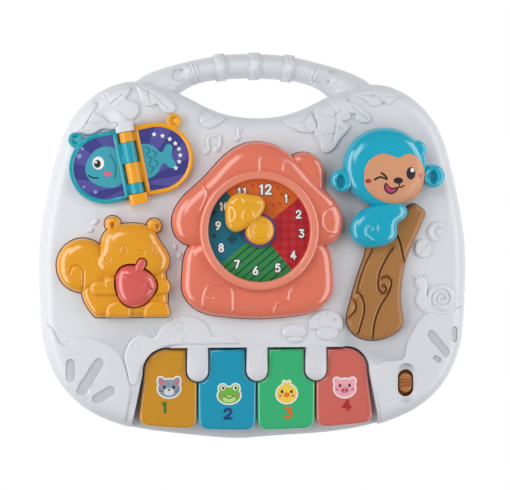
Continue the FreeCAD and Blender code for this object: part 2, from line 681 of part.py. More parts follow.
def make_top_shell():
    """White moulded top: rolled edge, key recess with tongues, handle's upper half, bosses and openings."""
    upper = board_block(PARTING_Z, DECK_Z, DECK_EDGE_RADIUS, DECK_Z)
    lower = board_block(PARTING_Z, RECESS_FLOOR_Z, RECESS_LIP_RADIUS, RECESS_FLOOR_Z)
    below = PARTING_Z - CUT_PAST
    inner = bevelled(slab(BOARD_OUTLINE, below, CEILING_Z, -WALL), DECK_EDGE_INNER_BEVEL, CEILING_Z)
    under_recess = slab(BOARD_OUTLINE, below, RECESS_FLOOR_Z - WALL, -WALL)
    outside = upper.cut(recess_block(0.0, below, DECK_Z + CUT_PAST)).fuse(lower)
    inside = inner.cut(recess_block(WALL, below - CUT_PAST, DECK_Z + CUT_PAST)).fuse(under_recess)
    shell = outside.cut(inside)
    tongues = [tongue(x, 0.0, RECESS_FLOOR_Z, DECK_Z, TONGUE_EDGE) for x in tongue_x()]
    posts = [rod(x, y, PARTING_Z, CEILING_Z, BOSS_RADIUS) for x, y in SCREW_POINTS]
    posts += button_posts(BUTTON_POST_RADIUS, BUTTON_BOARD_Z, CEILING_Z)
    switch_y = SWITCH_CENTRE[1]
    posts += [rod(x, switch_y, SWITCH_PLATE_Z, CEILING_Z, SWITCH_POST_RADIUS) for x in switch_post_x()]
    start = HINGE_LENGTH / 2 + KNUCKLE_GAP
    bracket = hinge_place(hinge_block(start, start + BRACKET_LENGTH, HINGE_PIN_RADIUS + SEAT_GAP))
    grip = [handle_bar(HANDLE_RISE, True)] + handle_collars(HANDLE_RISE, True)
    shell = joined([shell] + grip + tongues + axle_ribs() + posts + [bracket])
    holes = []
    for index in range(4):
        x = key_arm_x(index)
        half = KEY_ARM_WIDTH / 2 + SLOT_GAP
        holes.append(block(x - half, x + half, RECESS_BACK_Y - CUT_PAST, RECESS_BACK_Y + WALL + CUT_PAST,
                           RECESS_FLOOR_Z + WALL, CEILING_Z))
        holes.append(rod(key_centre_x(index), PLUNGER_Y, PARTING_Z, DECK_Z, PLUNGER_HOLE_RADIUS))
    for x, y in SCREW_POINTS:
        holes.append(rod(x, y, below, PARTING_Z + SCREW_BITE, SCREW_RADIUS + SEAT_GAP))
    for x, y in handle_plug_points():
        holes.append(rod(x, y, HANDLE_SCREW_Z, DECK_Z, HANDLE_PLUG_RADIUS + SEAT_GAP))
        holes.append(rod(x, y, below, HANDLE_SCREW_Z, SCREW_RADIUS + SEAT_GAP))
    low = CEILING_Z - CUT_PAST
    high = DECK_Z + CUT_PAST
    holes.append(rod(ACORN_CENTRE[0], ACORN_CENTRE[1], low, high, ACORN_POST_RADIUS + PLAY_GAP))
    holes.append(rod(MONKEY_PIVOT[0], MONKEY_PIVOT[1], low, high, PIVOT_RADIUS + RUNNING_GAP))
    holes.append(switch_capsule(SWITCH_DISH_WIDTH, SWITCH_DISH_LENGTH, DECK_Z - SWITCH_DISH_DEPTH, high))
    holes.append(switch_capsule(SWITCH_SLOT_WIDTH, SWITCH_SLOT_LENGTH, low, DECK_Z))
    return shell.cut(holes)


def battery_bay(margin, low, high, lip=0.0, land=0.0):
    """A box about the battery bay, with an optional longer end for the door's screw."""
    x, y = BAY_CENTRE
    half_x = BAY_HALF_X + margin + lip
    half_y = BAY_HALF_Y + margin + lip
    return block(x - half_x, x + half_x + land, y - half_y, y + half_y, low, high)


def door_screw_point():
    """Place of the battery door's screw."""
    return BAY_CENTRE[0] + BAY_HALF_X + DOOR_LIP + DOOR_SCREW_LAND / 2, BAY_CENTRE[1]


def circuit_post_points():
    """Places of the four posts under the circuit board."""
    reach_x = CIRCUIT_HALF_LENGTH - CIRCUIT_POST_RADIUS
    reach_y = CIRCUIT_WIDTH / 2 - CIRCUIT_POST_RADIUS
    return [(a * reach_x, PLUNGER_Y + b * reach_y) for a in (-1, 1) for b in (-1, 1)]


def grille_slots(low, high):
    """The row of round-ended slots under the speaker, shorter towards the rim."""
    x, y = SPEAKER_CENTRE
    reach = SPEAKER_RADIUS - SPEAKER_RIM - GRILLE_SLOT_WIDTH
    slots = []
    for number in range(GRILLE_SLOTS):
        across = (number - (GRILLE_SLOTS - 1) / 2) * GRILLE_PITCH
        half = math.sqrt(reach ** 2 - across ** 2) - GRILLE_SLOT_WIDTH / 2
        level = y + across
        slots.append(capsule((x - half, level), (x + half, level), GRILLE_SLOT_WIDTH / 2, low, high))
    return slots


def make_bottom_shell():
    """White underside: leg sockets, battery bay, speaker seat and grille, bosses, handle's lower half."""
    shell = board_block(UNDERSIDE_Z, PARTING_Z, UNDERSIDE_EDGE_RADIUS, UNDERSIDE_Z)
    shell = shell.cut(slab(BOARD_OUTLINE, FLOOR_Z, PARTING_Z + CUT_PAST, -WALL))
    below = UNDERSIDE_Z - CUT_PAST
    socket_radius = LEG_PLUG_RADIUS + SEAT_GAP
    socket_top = UNDERSIDE_Z + LEG_PLUG_LENGTH + END_GAP
    raised = [rod(x, y, UNDERSIDE_Z, socket_top + WALL, socket_radius + SOCKET_WALL) for x, y in LEG_POINTS]
    raised += [rod(x, y, UNDERSIDE_Z, PARTING_Z, BOSS_RADIUS) for x, y in SCREW_POINTS]
    raised += [rod(x, y, FLOOR_Z, CIRCUIT_TOP_Z - BOARD_THICKNESS, CIRCUIT_POST_RADIUS)
               for x, y in circuit_post_points()]
    x, y = SPEAKER_CENTRE
    raised.append(tube(x, y, FLOOR_Z, SPEAKER_SEAT_Z, SPEAKER_RADIUS, SPEAKER_RADIUS - SPEAKER_RIM))
    raised.append(tube(x, y, FLOOR_Z, SPEAKER_SEAT_Z + SPEAKER_RIM, SPEAKER_RADIUS + SPEAKER_RIM,
                       SPEAKER_RADIUS + SEAT_GAP))
    raised.append(battery_bay(WALL, UNDERSIDE_Z, BAY_ROOF_Z + WALL))
    door_x, door_y = door_screw_point()
    raised.append(rod(door_x, door_y, UNDERSIDE_Z, DOOR_TOP_Z + DOOR_SCREW_BITE + CUT_PAST, DOOR_BOSS_RADIUS))
    raised += [handle_bar(HANDLE_DROP, False)] + handle_collars(HANDLE_DROP, False)
    shell = joined([shell] + raised)
    holes = [rod(x, y, below, socket_top, socket_radius) for x, y in LEG_POINTS]
    for x, y in SCREW_POINTS:
        holes.append(rod(x, y, below, UNDERSIDE_Z + SCREW_SINK, SCREW_HEAD_RADIUS + PLAY_GAP))
        holes.append(rod(x, y, below, PARTING_Z + CUT_PAST, SCREW_RADIUS + SEAT_GAP))
    for x, y in handle_plug_points():
        holes.append(rod(x, y, PARTING_Z - HANDLE_SCREW_BITE, PARTING_Z + CUT_PAST, SCREW_RADIUS + SEAT_GAP))
    holes.append(battery_bay(0.0, below, BAY_ROOF_Z))
    holes.append(battery_bay(0.0, below, DOOR_TOP_Z, DOOR_LIP, DOOR_SCREW_LAND))
    holes.append(rod(door_x, door_y, UNDERSIDE_Z, DOOR_TOP_Z + DOOR_SCREW_BITE, DOOR_SCREW_RADIUS + SEAT_GAP))
    return shell.cut(holes + grille_slots(below, FLOOR_Z + CUT_PAST))


def make_handle_plugs():
    """Two round plugs that cover the handle's screws."""
    return group([rod(x, y, PLUG_BOTTOM_Z, PLUG_TOP_Z, HANDLE_PLUG_RADIUS) for x, y in handle_plug_points()])


def make_handle_screws():
    """Two screws driven down through the upper half of the handle into the lower one."""
    screws = []
    for x, y in handle_plug_points():
        head = rod(x, y, HANDLE_SCREW_Z, PLUG_BOTTOM_Z, SCREW_HEAD_RADIUS)
        shank = rod(x, y, PARTING_Z - HANDLE_SCREW_BITE, HANDLE_SCREW_Z, SCREW_RADIUS)
        screws.append(joined([head, shank]))
    return group(screws)


def make_house_cover():
    """Coral house: lower walls, curled roof, chimney and bezel, hollow below, with a seat for the dial."""
    walls_outline = mirrored(HOUSE_WALLS_RIGHT, HOUSE_WALLS_BACK_Y)
    roof_outline = mirrored(HOUSE_ROOF_RIGHT, HOUSE_ROOF_BACK_Y)
    walls_top = DECK_Z + HOUSE_WALLS_HEIGHT
    roof_top = DECK_Z + HOUSE_ROOF_HEIGHT
    bezel_top = DECK_Z + BEZEL_HEIGHT
    bezel = rod(0, DIAL_CENTRE_Y, DECK_Z, bezel_top, DIAL_RADIUS + BEZEL_WIDTH)
    chimney = pad(CHIMNEY, DECK_Z, DECK_Z + CHIMNEY_HEIGHT, HOUSE_EDGE_RADIUS / 2)
    house = joined([
        pad(walls_outline, DECK_Z, walls_top, HOUSE_EDGE_RADIUS),
        pad(roof_outline, DECK_Z, roof_top, HOUSE_EDGE_RADIUS),
        chimney,
        bevelled(bezel, BEZEL_EDGE, bezel_top),
    ])
    below = DECK_Z - CUT_PAST
    hollow = slab(walls_outline, below, walls_top - WALL, -WALL)
    hollow = hollow.fuse(slab(roof_outline, below, roof_top - WALL, -WALL))
    hollow = hollow.cut(rod(0, DIAL_CENTRE_Y, DIAL_Z - WALL, bezel_top, DIAL_RADIUS + WALL))
    seat = rod(0, DIAL_CENTRE_Y, DIAL_Z, bezel_top + CUT_PAST, DIAL_RADIUS + SEAT_GAP)
    bore = rod(0, DIAL_CENTRE_Y, DECK_Z, bezel_top, POINTER_SHAFT_RADIUS + RUNNING_GAP)
    return house.cut([hollow, seat, bore])


def make_clock_dial():
    """Printed disc of the clock, with a hole for the pointer's shaft."""
    bore = POINTER_SHAFT_RADIUS + RUNNING_GAP
    return tube(0, DIAL_CENTRE_Y, DIAL_Z, DIAL_Z + DIAL_THICKNESS, DIAL_RADIUS, bore)


def make_clock_hub_ring():
    """Purple base disc that turns with the pointer."""
    return tube(0, DIAL_CENTRE_Y, HUB_RING_Z, HUB_Z, HUB_RING_RADIUS, POINTER_SHAFT_RADIUS + SEAT_GAP)


def make_clock_pointer():
    """Yellow pointer: a toadstool-shaped hand, its round hub and the shaft that turns in the house."""
    outline = [(x, y + DIAL_CENTRE_Y) for x, y in POINTER_OUTLINE]
    hand_low = HUB_Z + POINTER_LIFT
    hand = pad(outline, hand_low, hand_low + POINTER_THICKNESS, POINTER_EDGE_RADIUS)
    hub_top = HUB_Z + HUB_HEIGHT
    hub = bevelled(rod(0, DIAL_CENTRE_Y, HUB_Z, hub_top, HUB_RADIUS), HUB_EDGE, hub_top)
    shaft = rod(0, DIAL_CENTRE_Y, CLIP_TOP_Z - CLIP_THICKNESS, HUB_Z, POINTER_SHAFT_RADIUS)
    return joined([hand, hub, shaft])


def make_pointer_clip():
    """Washer pressed on the end of the pointer's shaft, under the dial seat."""
    bore = POINTER_SHAFT_RADIUS + SEAT_GAP
    return tube(0, DIAL_CENTRE_Y, CLIP_TOP_Z - CLIP_THICKNESS, CLIP_TOP_Z, CLIP_RADIUS, bore)


def make_tree_trunk():
    """Brown trunk cover under the monkey, hollow below, with a boss for the pivot."""
    trunk = pad(TRUNK_OUTLINE, DECK_Z, TRUNK_TOP_Z, TRUNK_EDGE_RADIUS)
    x, y = MONKEY_PIVOT
    below = DECK_Z - CUT_PAST
    hollow = slab(TRUNK_OUTLINE, below, TRUNK_TOP_Z - MONKEY_WALL, -MONKEY_WALL)
    hollow = hollow.cut(rod(x, y, below, TRUNK_TOP_Z, PIVOT_BOSS_RADIUS))
    bore = rod(x, y, below, TRUNK_TOP_Z + CUT_PAST, PIVOT_RADIUS + RUNNING_GAP)
    return trunk.cut([hollow, bore])


def head_outline():
    """Eight points round the oval of the monkey's head."""
    x, y = HEAD_CENTRE
    angles = [number * math.pi / 4 for number in range(8)]
    return [(x + HEAD_RADII[0] * math.cos(a), y + HEAD_RADII[1] * math.sin(a)) for a in angles]


def make_monkey_figure():
    """Turquoise monkey: head, ears, hair tuft and body, hollow below, with a boss for its pivot."""
    head = pad(head_outline(), MONKEY_Z, HEAD_TOP_Z, MONKEY_EDGE_RADIUS)
    tuft_top = MONKEY_Z + EAR_HEIGHT
    tuft = rod(HAIR_TUFT[0], HAIR_TUFT[1], MONKEY_Z, tuft_top, HAIR_TUFT_RADIUS)
    tuft = bevelled(tuft, LIMB_EDGE, tuft_top)
    ears = []
    for x, y, radius in EARS:
        ear = bevelled(rod(x, y, MONKEY_Z, tuft_top, radius), LIMB_EDGE, tuft_top)
        hollow = rod(x, y, tuft_top - EAR_HOLLOW_DEPTH, tuft_top + CUT_PAST, radius * EAR_HOLLOW_SHARE)
        ears.append(ear.cut(hollow))
    body = pad(MONKEY_BODY, MONKEY_Z, MONKEY_Z + MONKEY_BODY_HEIGHT, MONKEY_BODY_EDGE_RADIUS)
    figure = joined([head, tuft, body] + ears)
    x, y = MONKEY_PIVOT
    below = MONKEY_Z - CUT_PAST
    head_room = slab(head_outline(), below, FACE_SEAT_Z - MONKEY_WALL, -MONKEY_WALL)
    body_room = slab(MONKEY_BODY, below, MONKEY_Z + MONKEY_BODY_HEIGHT - MONKEY_WALL, -MONKEY_WALL)
    body_room = body_room.cut(rod(x, y, below, HEAD_TOP_Z, PIVOT_BOSS_RADIUS))
    seat = slab(FACE_OUTLINE, FACE_SEAT_Z, HEAD_TOP_Z + CUT_PAST, SEAT_GAP)
    bore = rod(x, y, below, MONKEY_Z + MONKEY_BODY_HEIGHT - MONKEY_WALL, PIVOT_RADIUS + SEAT_GAP)
    return figure.cut([head_room.fuse(body_room), seat, bore])


def make_monkey_face():
    """Peach face plate set into the monkey's head."""
    return slab(FACE_OUTLINE, FACE_SEAT_Z, FACE_SEAT_Z + FACE_PLATE_THICKNESS)


def make_monkey_pivot():
    """Shouldered pin from under the deck, through the trunk, into the monkey's boss."""
    x, y = MONKEY_PIVOT
    head_top = CEILING_Z - END_GAP
    head = rod(x, y, head_top - PIVOT_HEAD_HEIGHT, head_top, PIVOT_HEAD_RADIUS)
    shaft = rod(x, y, head_top, MONKEY_Z + MONKEY_BODY_HEIGHT - MONKEY_WALL, PIVOT_RADIUS)
    return joined([head, shaft])


def limb(ends, height):
    """One arm or foot of the squirrel: a bevelled slab about two points."""
    start, end, radius = ends
    return bevelled(capsule(start, end, radius, DECK_Z, DECK_Z + height), LIMB_EDGE, DECK_Z + height)


def acorn_plan(grow, low, high):
    """The acorn's outline with its stem, as a slab."""
    nut = slab(ACORN_OUTLINE, low, high, grow)
    start, end, radius = ACORN_STEM
    return joined([nut, capsule(start, end, radius + grow, low, high)])


def make_squirrel_cover():
    """Amber squirrel: tail, body, head, ears, arms and feet, hollow below and open for the acorn."""
    parts = [
        pad(SQUIRREL_TAIL, DECK_Z, DECK_Z + SQUIRREL_TAIL_HEIGHT, SQUIRREL_EDGE_RADIUS),
        pad(SQUIRREL_BODY, DECK_Z, DECK_Z + SQUIRREL_HEIGHT, SQUIRREL_EDGE_RADIUS),
        pad(SQUIRREL_HEAD, DECK_Z, DECK_Z + SQUIRREL_HEAD_HEIGHT, SQUIRREL_HEAD_EDGE_RADIUS),
    ]
    for x, y, radius in SQUIRREL_EARS:
        ear_top = DECK_Z + SQUIRREL_EAR_HEIGHT
        parts.append(bevelled(rod(x, y, DECK_Z, ear_top, radius), LIMB_EDGE, ear_top))
    parts += [limb(ends, SQUIRREL_ARM_HEIGHT) for ends in SQUIRREL_ARMS]
    parts += [limb(ends, SQUIRREL_FOOT_HEIGHT) for ends in SQUIRREL_FEET]
    squirrel = joined(parts)
    low = DECK_Z - CUT_PAST
    high = DECK_Z + ACORN_HEIGHT
    front = block(-BEYOND, 0, -BEYOND, SQUIRREL_BASE_Y, low - CUT_PAST, high)
    front_wall = block(-BEYOND, 0, -BEYOND, SQUIRREL_BASE_Y + WALL, low - CUT_PAST, high)
    hollow = slab(SQUIRREL_TAIL, low, DECK_Z + SQUIRREL_HEIGHT - WALL, -WALL)
    hollow = hollow.fuse(slab(SQUIRREL_BODY, low, DECK_Z + SQUIRREL_HEIGHT - WALL, -WALL))
    return squirrel.cut([hollow.cut(front_wall), acorn_plan(PLAY_GAP, low, high), front])


def make_acorn_button():
    """Coral acorn that is pressed down, with the post that reaches its dome."""
    top = DECK_Z + ACORN_HEIGHT
    nut = pad(ACORN_OUTLINE, ACORN_LOW_Z, top, ACORN_EDGE_RADIUS)
    start, end, radius = ACORN_STEM
    stem_top = top - ACORN_EDGE_RADIUS
    stem = bevelled(capsule(start, end, radius, ACORN_LOW_Z, stem_top), ACORN_STEM_EDGE, stem_top)
    x, y = ACORN_CENTRE
    post = rod(x, y, BUTTON_BOARD_Z + DOME_HEIGHT + END_GAP, ACORN_LOW_Z, ACORN_POST_RADIUS)
    return joined([nut, stem, post])


def dome(x, y, base):
    """One silicone return dome: a flat foot with a hollow round cap."""
    foot = rod(x, y, base, base + DOME_BASE_HEIGHT, DOME_BASE_RADIUS)
    cap = rod(x, y, base, base + DOME_HEIGHT, DOME_CAP_RADIUS)
    room = rod(x, y, base, base + DOME_HEIGHT - DOME_WALL, DOME_CAP_RADIUS - DOME_WALL)
    return joined([foot, cap]).cut(room)


def make_button_board():
    """Small circuit board under the acorn."""
    x, y = ACORN_CENTRE
    half = BUTTON_BOARD_SIDE / 2
    return block(x - half, x + half, y - half, y + half, BUTTON_BOARD_Z - BOARD_THICKNESS, BUTTON_BOARD_Z)


def leaf_plan(inset, low, high):
    """A half-oval slab beside the hinge pin, in the hinge's own axes, on the +X side."""
    start = LEAF_START + inset
    height = LEAF_HALF_HEIGHT - inset
    lower = vec(LEAF_STRAIGHT, -LEAF_HALF_HEIGHT)
    upper = vec(LEAF_STRAIGHT, LEAF_HALF_HEIGHT)
    tip = vec(LEAF_REACH, 0)
    edges = [Part.LineSegment(vec(start, -height), vec(LEAF_STRAIGHT, -height)).toShape()]
    edges += arc_pair(lower, vec(1, 0), tip, vec(0, 1), -inset)
    edges += arc_pair(tip, vec(0, 1), upper, vec(-1, 0), -inset)
    edges.append(Part.LineSegment(vec(LEAF_STRAIGHT, height), vec(start, height)).toShape())
    edges.append(Part.LineSegment(vec(start, height), vec(start, -height)).toShape())
    face = Part.Face(Part.Wire(edges))
    face.translate(vec(0, 0, low))
    return face.extrude(vec(0, 0, high - low))


def make_leaf(knuckles):
    """One leaf of the flip book on the +X side: frame, finger tab, knuckles and their arms."""
    top = -LEAF_GAP
    bottom = top - LEAF_THICKNESS
    frame = bevelled(leaf_plan(0.0, bottom, top), LEAF_EDGE, top)
    tab = bevelled(rod(LEAF_TAB[0], LEAF_TAB[1], bottom, top, LEAF_TAB_RADIUS), LEAF_EDGE, top)
    parts = [frame, tab]
    for low, high in knuckles:
        low += KNUCKLE_GAP / 2
        high -= KNUCKLE_GAP / 2
        parts.append(hinge_cylinder(low, high, KNUCKLE_RADIUS))
        parts.append(block(0, LEAF_START + LEAF_RIM, low, high, bottom, top))
    leaf = joined(parts)
    above = top + CUT_PAST
    pocket = leaf_plan(LEAF_RIM, top - PLATE_DEPTH, above)
    finger = rod(LEAF_TAB[0], LEAF_TAB[1], top - PLATE_DEPTH, above, LEAF_TAB_HOLLOW)
    bore = hinge_cylinder(-HINGE_LENGTH, HINGE_LENGTH, HINGE_PIN_RADIUS + RUNNING_GAP)
    corner_x = BRACKET_WIDTH / 2 + PLAY_GAP
    end = HINGE_LENGTH / 2
    corners = [block(0, corner_x, end, BEYOND, bottom - CUT_PAST, above),
               block(0, corner_x, -BEYOND, -end, bottom - CUT_PAST, above)]
    return leaf.cut([pocket, finger, bore] + corners)


def make_leaf_picture():
    """Printed plate in one leaf's pocket, on the +X side."""
    low = -LEAF_GAP - PLATE_DEPTH
    return leaf_plan(LEAF_RIM + SEAT_GAP, low, low + PLATE_THICKNESS)


def to_left(shape):
    """The same shape on the other side of the hinge pin."""
    return shape.mirror(vec(0, 0, 0), vec(1, 0, 0))


def make_hinge_pin():
    """Steel pin through both brackets and the four knuckles."""
    reach = HINGE_LENGTH / 2 + KNUCKLE_GAP + BRACKET_LENGTH - PIN_SINK
    return hinge_cylinder(-reach, reach, HINGE_PIN_RADIUS)


def make_hinge_bracket():
    """Yellow lower bracket of the hinge."""
    start = HINGE_LENGTH / 2 + KNUCKLE_GAP
    return hinge_block(-start - BRACKET_LENGTH, -start, HINGE_PIN_RADIUS + SEAT_GAP)


def make_key(index):
    """One piano key: its rounded cap, the arm and hub behind it, and the plunger below."""
    blank = recess_block(-KEY_EDGE_GAP, KEY_BOTTOM_Z, KEY_TOP_Z, KEYS_HALF_FRONT)
    middle = key_centre_x(index)
    half = (KEY_PITCH - KEY_GAP) / 2
    left = middle - half if index > 0 else -BEYOND
    right = middle + half if index < 3 else BEYOND
    column = block(left, right, RECESS_FRONT_Y, 0, KEY_BOTTOM_Z, KEY_TOP_Z)
    front = rod(0, KEY_FRONT_Y + KEY_FRONT_RADIUS, KEY_BOTTOM_Z, KEY_TOP_Z, KEY_FRONT_RADIUS)
    cap = blank.common(column).common(front)
    cap = cap.cut([tongue(x, KEY_TONGUE_GAP, KEY_BOTTOM_Z, KEY_TOP_Z) for x in tongue_x()])
    corners = [edge for edge in cap.Edges if abs(edge.BoundBox.ZLength - KEY_THICKNESS) < 0.01
               and edge.BoundBox.YMax < KEY_FRONT_Y + KEY_CORNER_RADIUS]
    cap = rounded(cap.makeFillet(KEY_CORNER_RADIUS, corners), KEY_EDGE_RADIUS, KEY_TOP_Z)
    x = key_arm_x(index)
    half = KEY_ARM_WIDTH / 2
    arm = block(x - half, x + half, RECESS_BACK_Y - KEY_EDGE_GAP - KEY_HUB_RADIUS, AXLE_Y,
                AXLE_Z - KEY_HUB_RADIUS / 2, AXLE_Z + KEY_ARM_RISE)
    hub = axle_bar(x - half, x + half, KEY_HUB_RADIUS)
    plunger = rod(middle, PLUNGER_Y, PLUNGER_END_Z, KEY_BOTTOM_Z, PLUNGER_RADIUS)
    key = joined([cap, arm, hub, plunger])
    return key.cut(axle_bar(x - half - CUT_PAST, x + half + CUT_PAST, AXLE_RADIUS + RUNNING_GAP))


def make_key_axle():
    """Steel rod through the five ribs and the four key hubs."""
    return axle_bar(-AXLE_HALF_LENGTH, AXLE_HALF_LENGTH, AXLE_RADIUS)


def make_circuit_board():
    """Main circuit board under the keys."""
    return block(-CIRCUIT_HALF_LENGTH, CIRCUIT_HALF_LENGTH, PLUNGER_Y - CIRCUIT_WIDTH / 2,
                 PLUNGER_Y + CIRCUIT_WIDTH / 2, CIRCUIT_TOP_Z - BOARD_THICKNESS, CIRCUIT_TOP_Z)


def make_switch_knob():
    """Ribbed slide knob with the flange that closes its slot and the stem that works the switch."""
    x, y = SWITCH_CENTRE
    low = SWITCH_FLANGE_LOW_Z
    knob = switch_capsule(SWITCH_KNOB_WIDTH, SWITCH_KNOB_LENGTH, low, DECK_Z)
    knob = bevelled(knob, SWITCH_KNOB_EDGE, DECK_Z)
    flange = switch_capsule(SWITCH_FLANGE_WIDTH, SWITCH_FLANGE_LENGTH, low, SWITCH_FLANGE_TOP_Z)
    stem = rod(x, y, low - SWITCH_STEM_LENGTH, low, SWITCH_STEM_RADIUS)
    half = SWITCH_GROOVE_WIDTH / 2
    grooves = [block(x - SWITCH_KNOB_WIDTH / 2, x + SWITCH_KNOB_WIDTH / 2, y + shift - half, y + shift + half,
                     DECK_Z - SWITCH_GROOVE_DEPTH, DECK_Z + CUT_PAST)
               for shift in (-SWITCH_GROOVE_PITCH, 0.0, SWITCH_GROOVE_PITCH)]
    return joined([knob, flange, stem]).cut(grooves)


def make_switch_body():
    """Slide switch: a metal case and the ear plate that hangs on two posts, slotted for the knob's stem."""
    x, y = SWITCH_CENTRE
    low_x, high_x = switch_post_x()
    half_width = SWITCH_CASE_WIDTH / 2
    half_length = SWITCH_CASE_LENGTH / 2
    plate = block(low_x - SWITCH_POST_RADIUS, high_x + SWITCH_POST_RADIUS, y - half_width, y + half_width,
                  SWITCH_PLATE_Z - SWITCH_EAR_THICKNESS, SWITCH_PLATE_Z)
    case = block(x - half_width, x + half_width, y - half_length, y + half_length,
                 SWITCH_PLATE_Z - SWITCH_BODY_HEIGHT, SWITCH_PLATE_Z)
    slot_length = 2 * (SWITCH_TRAVEL + SWITCH_STEM_RADIUS + PLAY_GAP)
    slot = switch_capsule(2 * (SWITCH_STEM_RADIUS + PLAY_GAP), slot_length,
                          SWITCH_PLATE_Z - SWITCH_STEM_LENGTH - PLAY_GAP, SWITCH_PLATE_Z + CUT_PAST)
    return joined([plate, case]).cut(slot)


def make_speaker():
    """Loudspeaker, face down: rim, basket and magnet."""
    x, y = SPEAKER_CENTRE
    basket_z = SPEAKER_SEAT_Z + SPEAKER_RIM
    magnet_z = basket_z + SPEAKER_BASKET_DEPTH
    rim = rod(x, y, SPEAKER_SEAT_Z, basket_z, SPEAKER_RADIUS)
    basket = rod(x, y, basket_z, magnet_z, SPEAKER_BASKET_RADIUS)
    magnet = rod(x, y, magnet_z, magnet_z + SPEAKER_MAGNET_HEIGHT, SPEAKER_MAGNET_RADIUS)
    return joined([rim, basket, magnet])


def battery_y():
    """Middles of the cells, side by side."""
    first = BAY_CENTRE[1] - (BATTERY_COUNT - 1) / 2 * BATTERY_PITCH
    return [first + number * BATTERY_PITCH for number in range(BATTERY_COUNT)]


def make_batteries():
    """Round cells side by side, lying along X."""
    start = BAY_CENTRE[0] - BATTERY_LENGTH / 2
    return group([Part.makeCylinder(BATTERY_RADIUS, BATTERY_LENGTH, vec(start, y, BATTERY_Z), vec(1, 0, 0))
                  for y in battery_y()])


def make_battery_contacts():
    """Contact plates at both ends of each cell, with a close-wound spring drawn as its envelope."""
    contacts = []
    half = CONTACT_SIDE / 2
    reach = CONTACT_ROOM - CONTACT_THICKNESS
    low = BATTERY_Z - half
    high = BATTERY_Z + half
    for y in battery_y():
        for side in (-1, 1):
            wall = BAY_CENTRE[0] + side * BAY_HALF_X
            inner = wall - side * CONTACT_THICKNESS
            plate = block(min(wall, inner), max(wall, inner), y - half, y + half, low, high)
            start = vec(inner, y, BATTERY_Z)
            spring = Part.makeCylinder(CONTACT_SPRING_RADIUS, reach, start, vec(-side, 0, 0))
            contacts.append(joined([plate, spring]))
    return group(contacts)


def make_battery_door():
    """Flush cover of the battery bay, with a land for its screw."""
    door = battery_bay(-PLAY_GAP, UNDERSIDE_Z, DOOR_TOP_Z, DOOR_LIP, DOOR_SCREW_LAND)
    x, y = door_screw_point()
    below = UNDERSIDE_Z - CUT_PAST
    sink = UNDERSIDE_Z + DOOR_SCREW_HEAD_HEIGHT
    return door.cut([rod(x, y, below, DOOR_TOP_Z + CUT_PAST, DOOR_SCREW_RADIUS + SEAT_GAP),
                     rod(x, y, below, sink, DOOR_SCREW_HEAD_RADIUS + SEAT_GAP)])


def make_door_screw():
    """Screw of the battery door, its head flush with the underside."""
    x, y = door_screw_point()
    length = DOOR_THICKNESS - DOOR_SCREW_HEAD_HEIGHT + DOOR_SCREW_BITE
    head_z = UNDERSIDE_Z + DOOR_SCREW_HEAD_HEIGHT
    return screw(x, y, head_z, length, DOOR_SCREW_RADIUS, DOOR_SCREW_HEAD_RADIUS, DOOR_SCREW_HEAD_HEIGHT)


def make_shell_screws():
    """Screws that join the two shells, driven from below into the posts of the top."""
    length = BOTTOM_SHELL_HEIGHT - SCREW_SINK + SCREW_BITE
    head_z = UNDERSIDE_Z + SCREW_SINK
    return group([screw(x, y, head_z, length, SCREW_RADIUS, SCREW_HEAD_RADIUS, SCREW_HEAD_HEIGHT)
                  for x, y in SCREW_POINTS])


def make_leg(x, y):
    """One plug-in leg: a tube, closed on top, with a plug above its shoulder."""
    outer = rod(x, y, FOOT_BASE, UNDERSIDE_Z, LEG_RADIUS)
    plug = rod(x, y, UNDERSIDE_Z, UNDERSIDE_Z + LEG_PLUG_LENGTH, LEG_PLUG_RADIUS)
    room = rod(x, y, FOOT_BASE, UNDERSIDE_Z - LEG_WALL, LEG_RADIUS - LEG_WALL)
    return joined([outer, plug]).cut(room)


def make_foot(x, y):
    """One rubber foot: a cup over the end of a leg."""
    cup = rod(x, y, 0, FOOT_HEIGHT, LEG_RADIUS + FOOT_WALL)
    cup = cup.makeChamfer(FOOT_EDGE, edges_at(cup, 0.0))
    return cup.cut(rod(x, y, FOOT_BASE, FOOT_HEIGHT, LEG_RADIUS + SEAT_GAP))


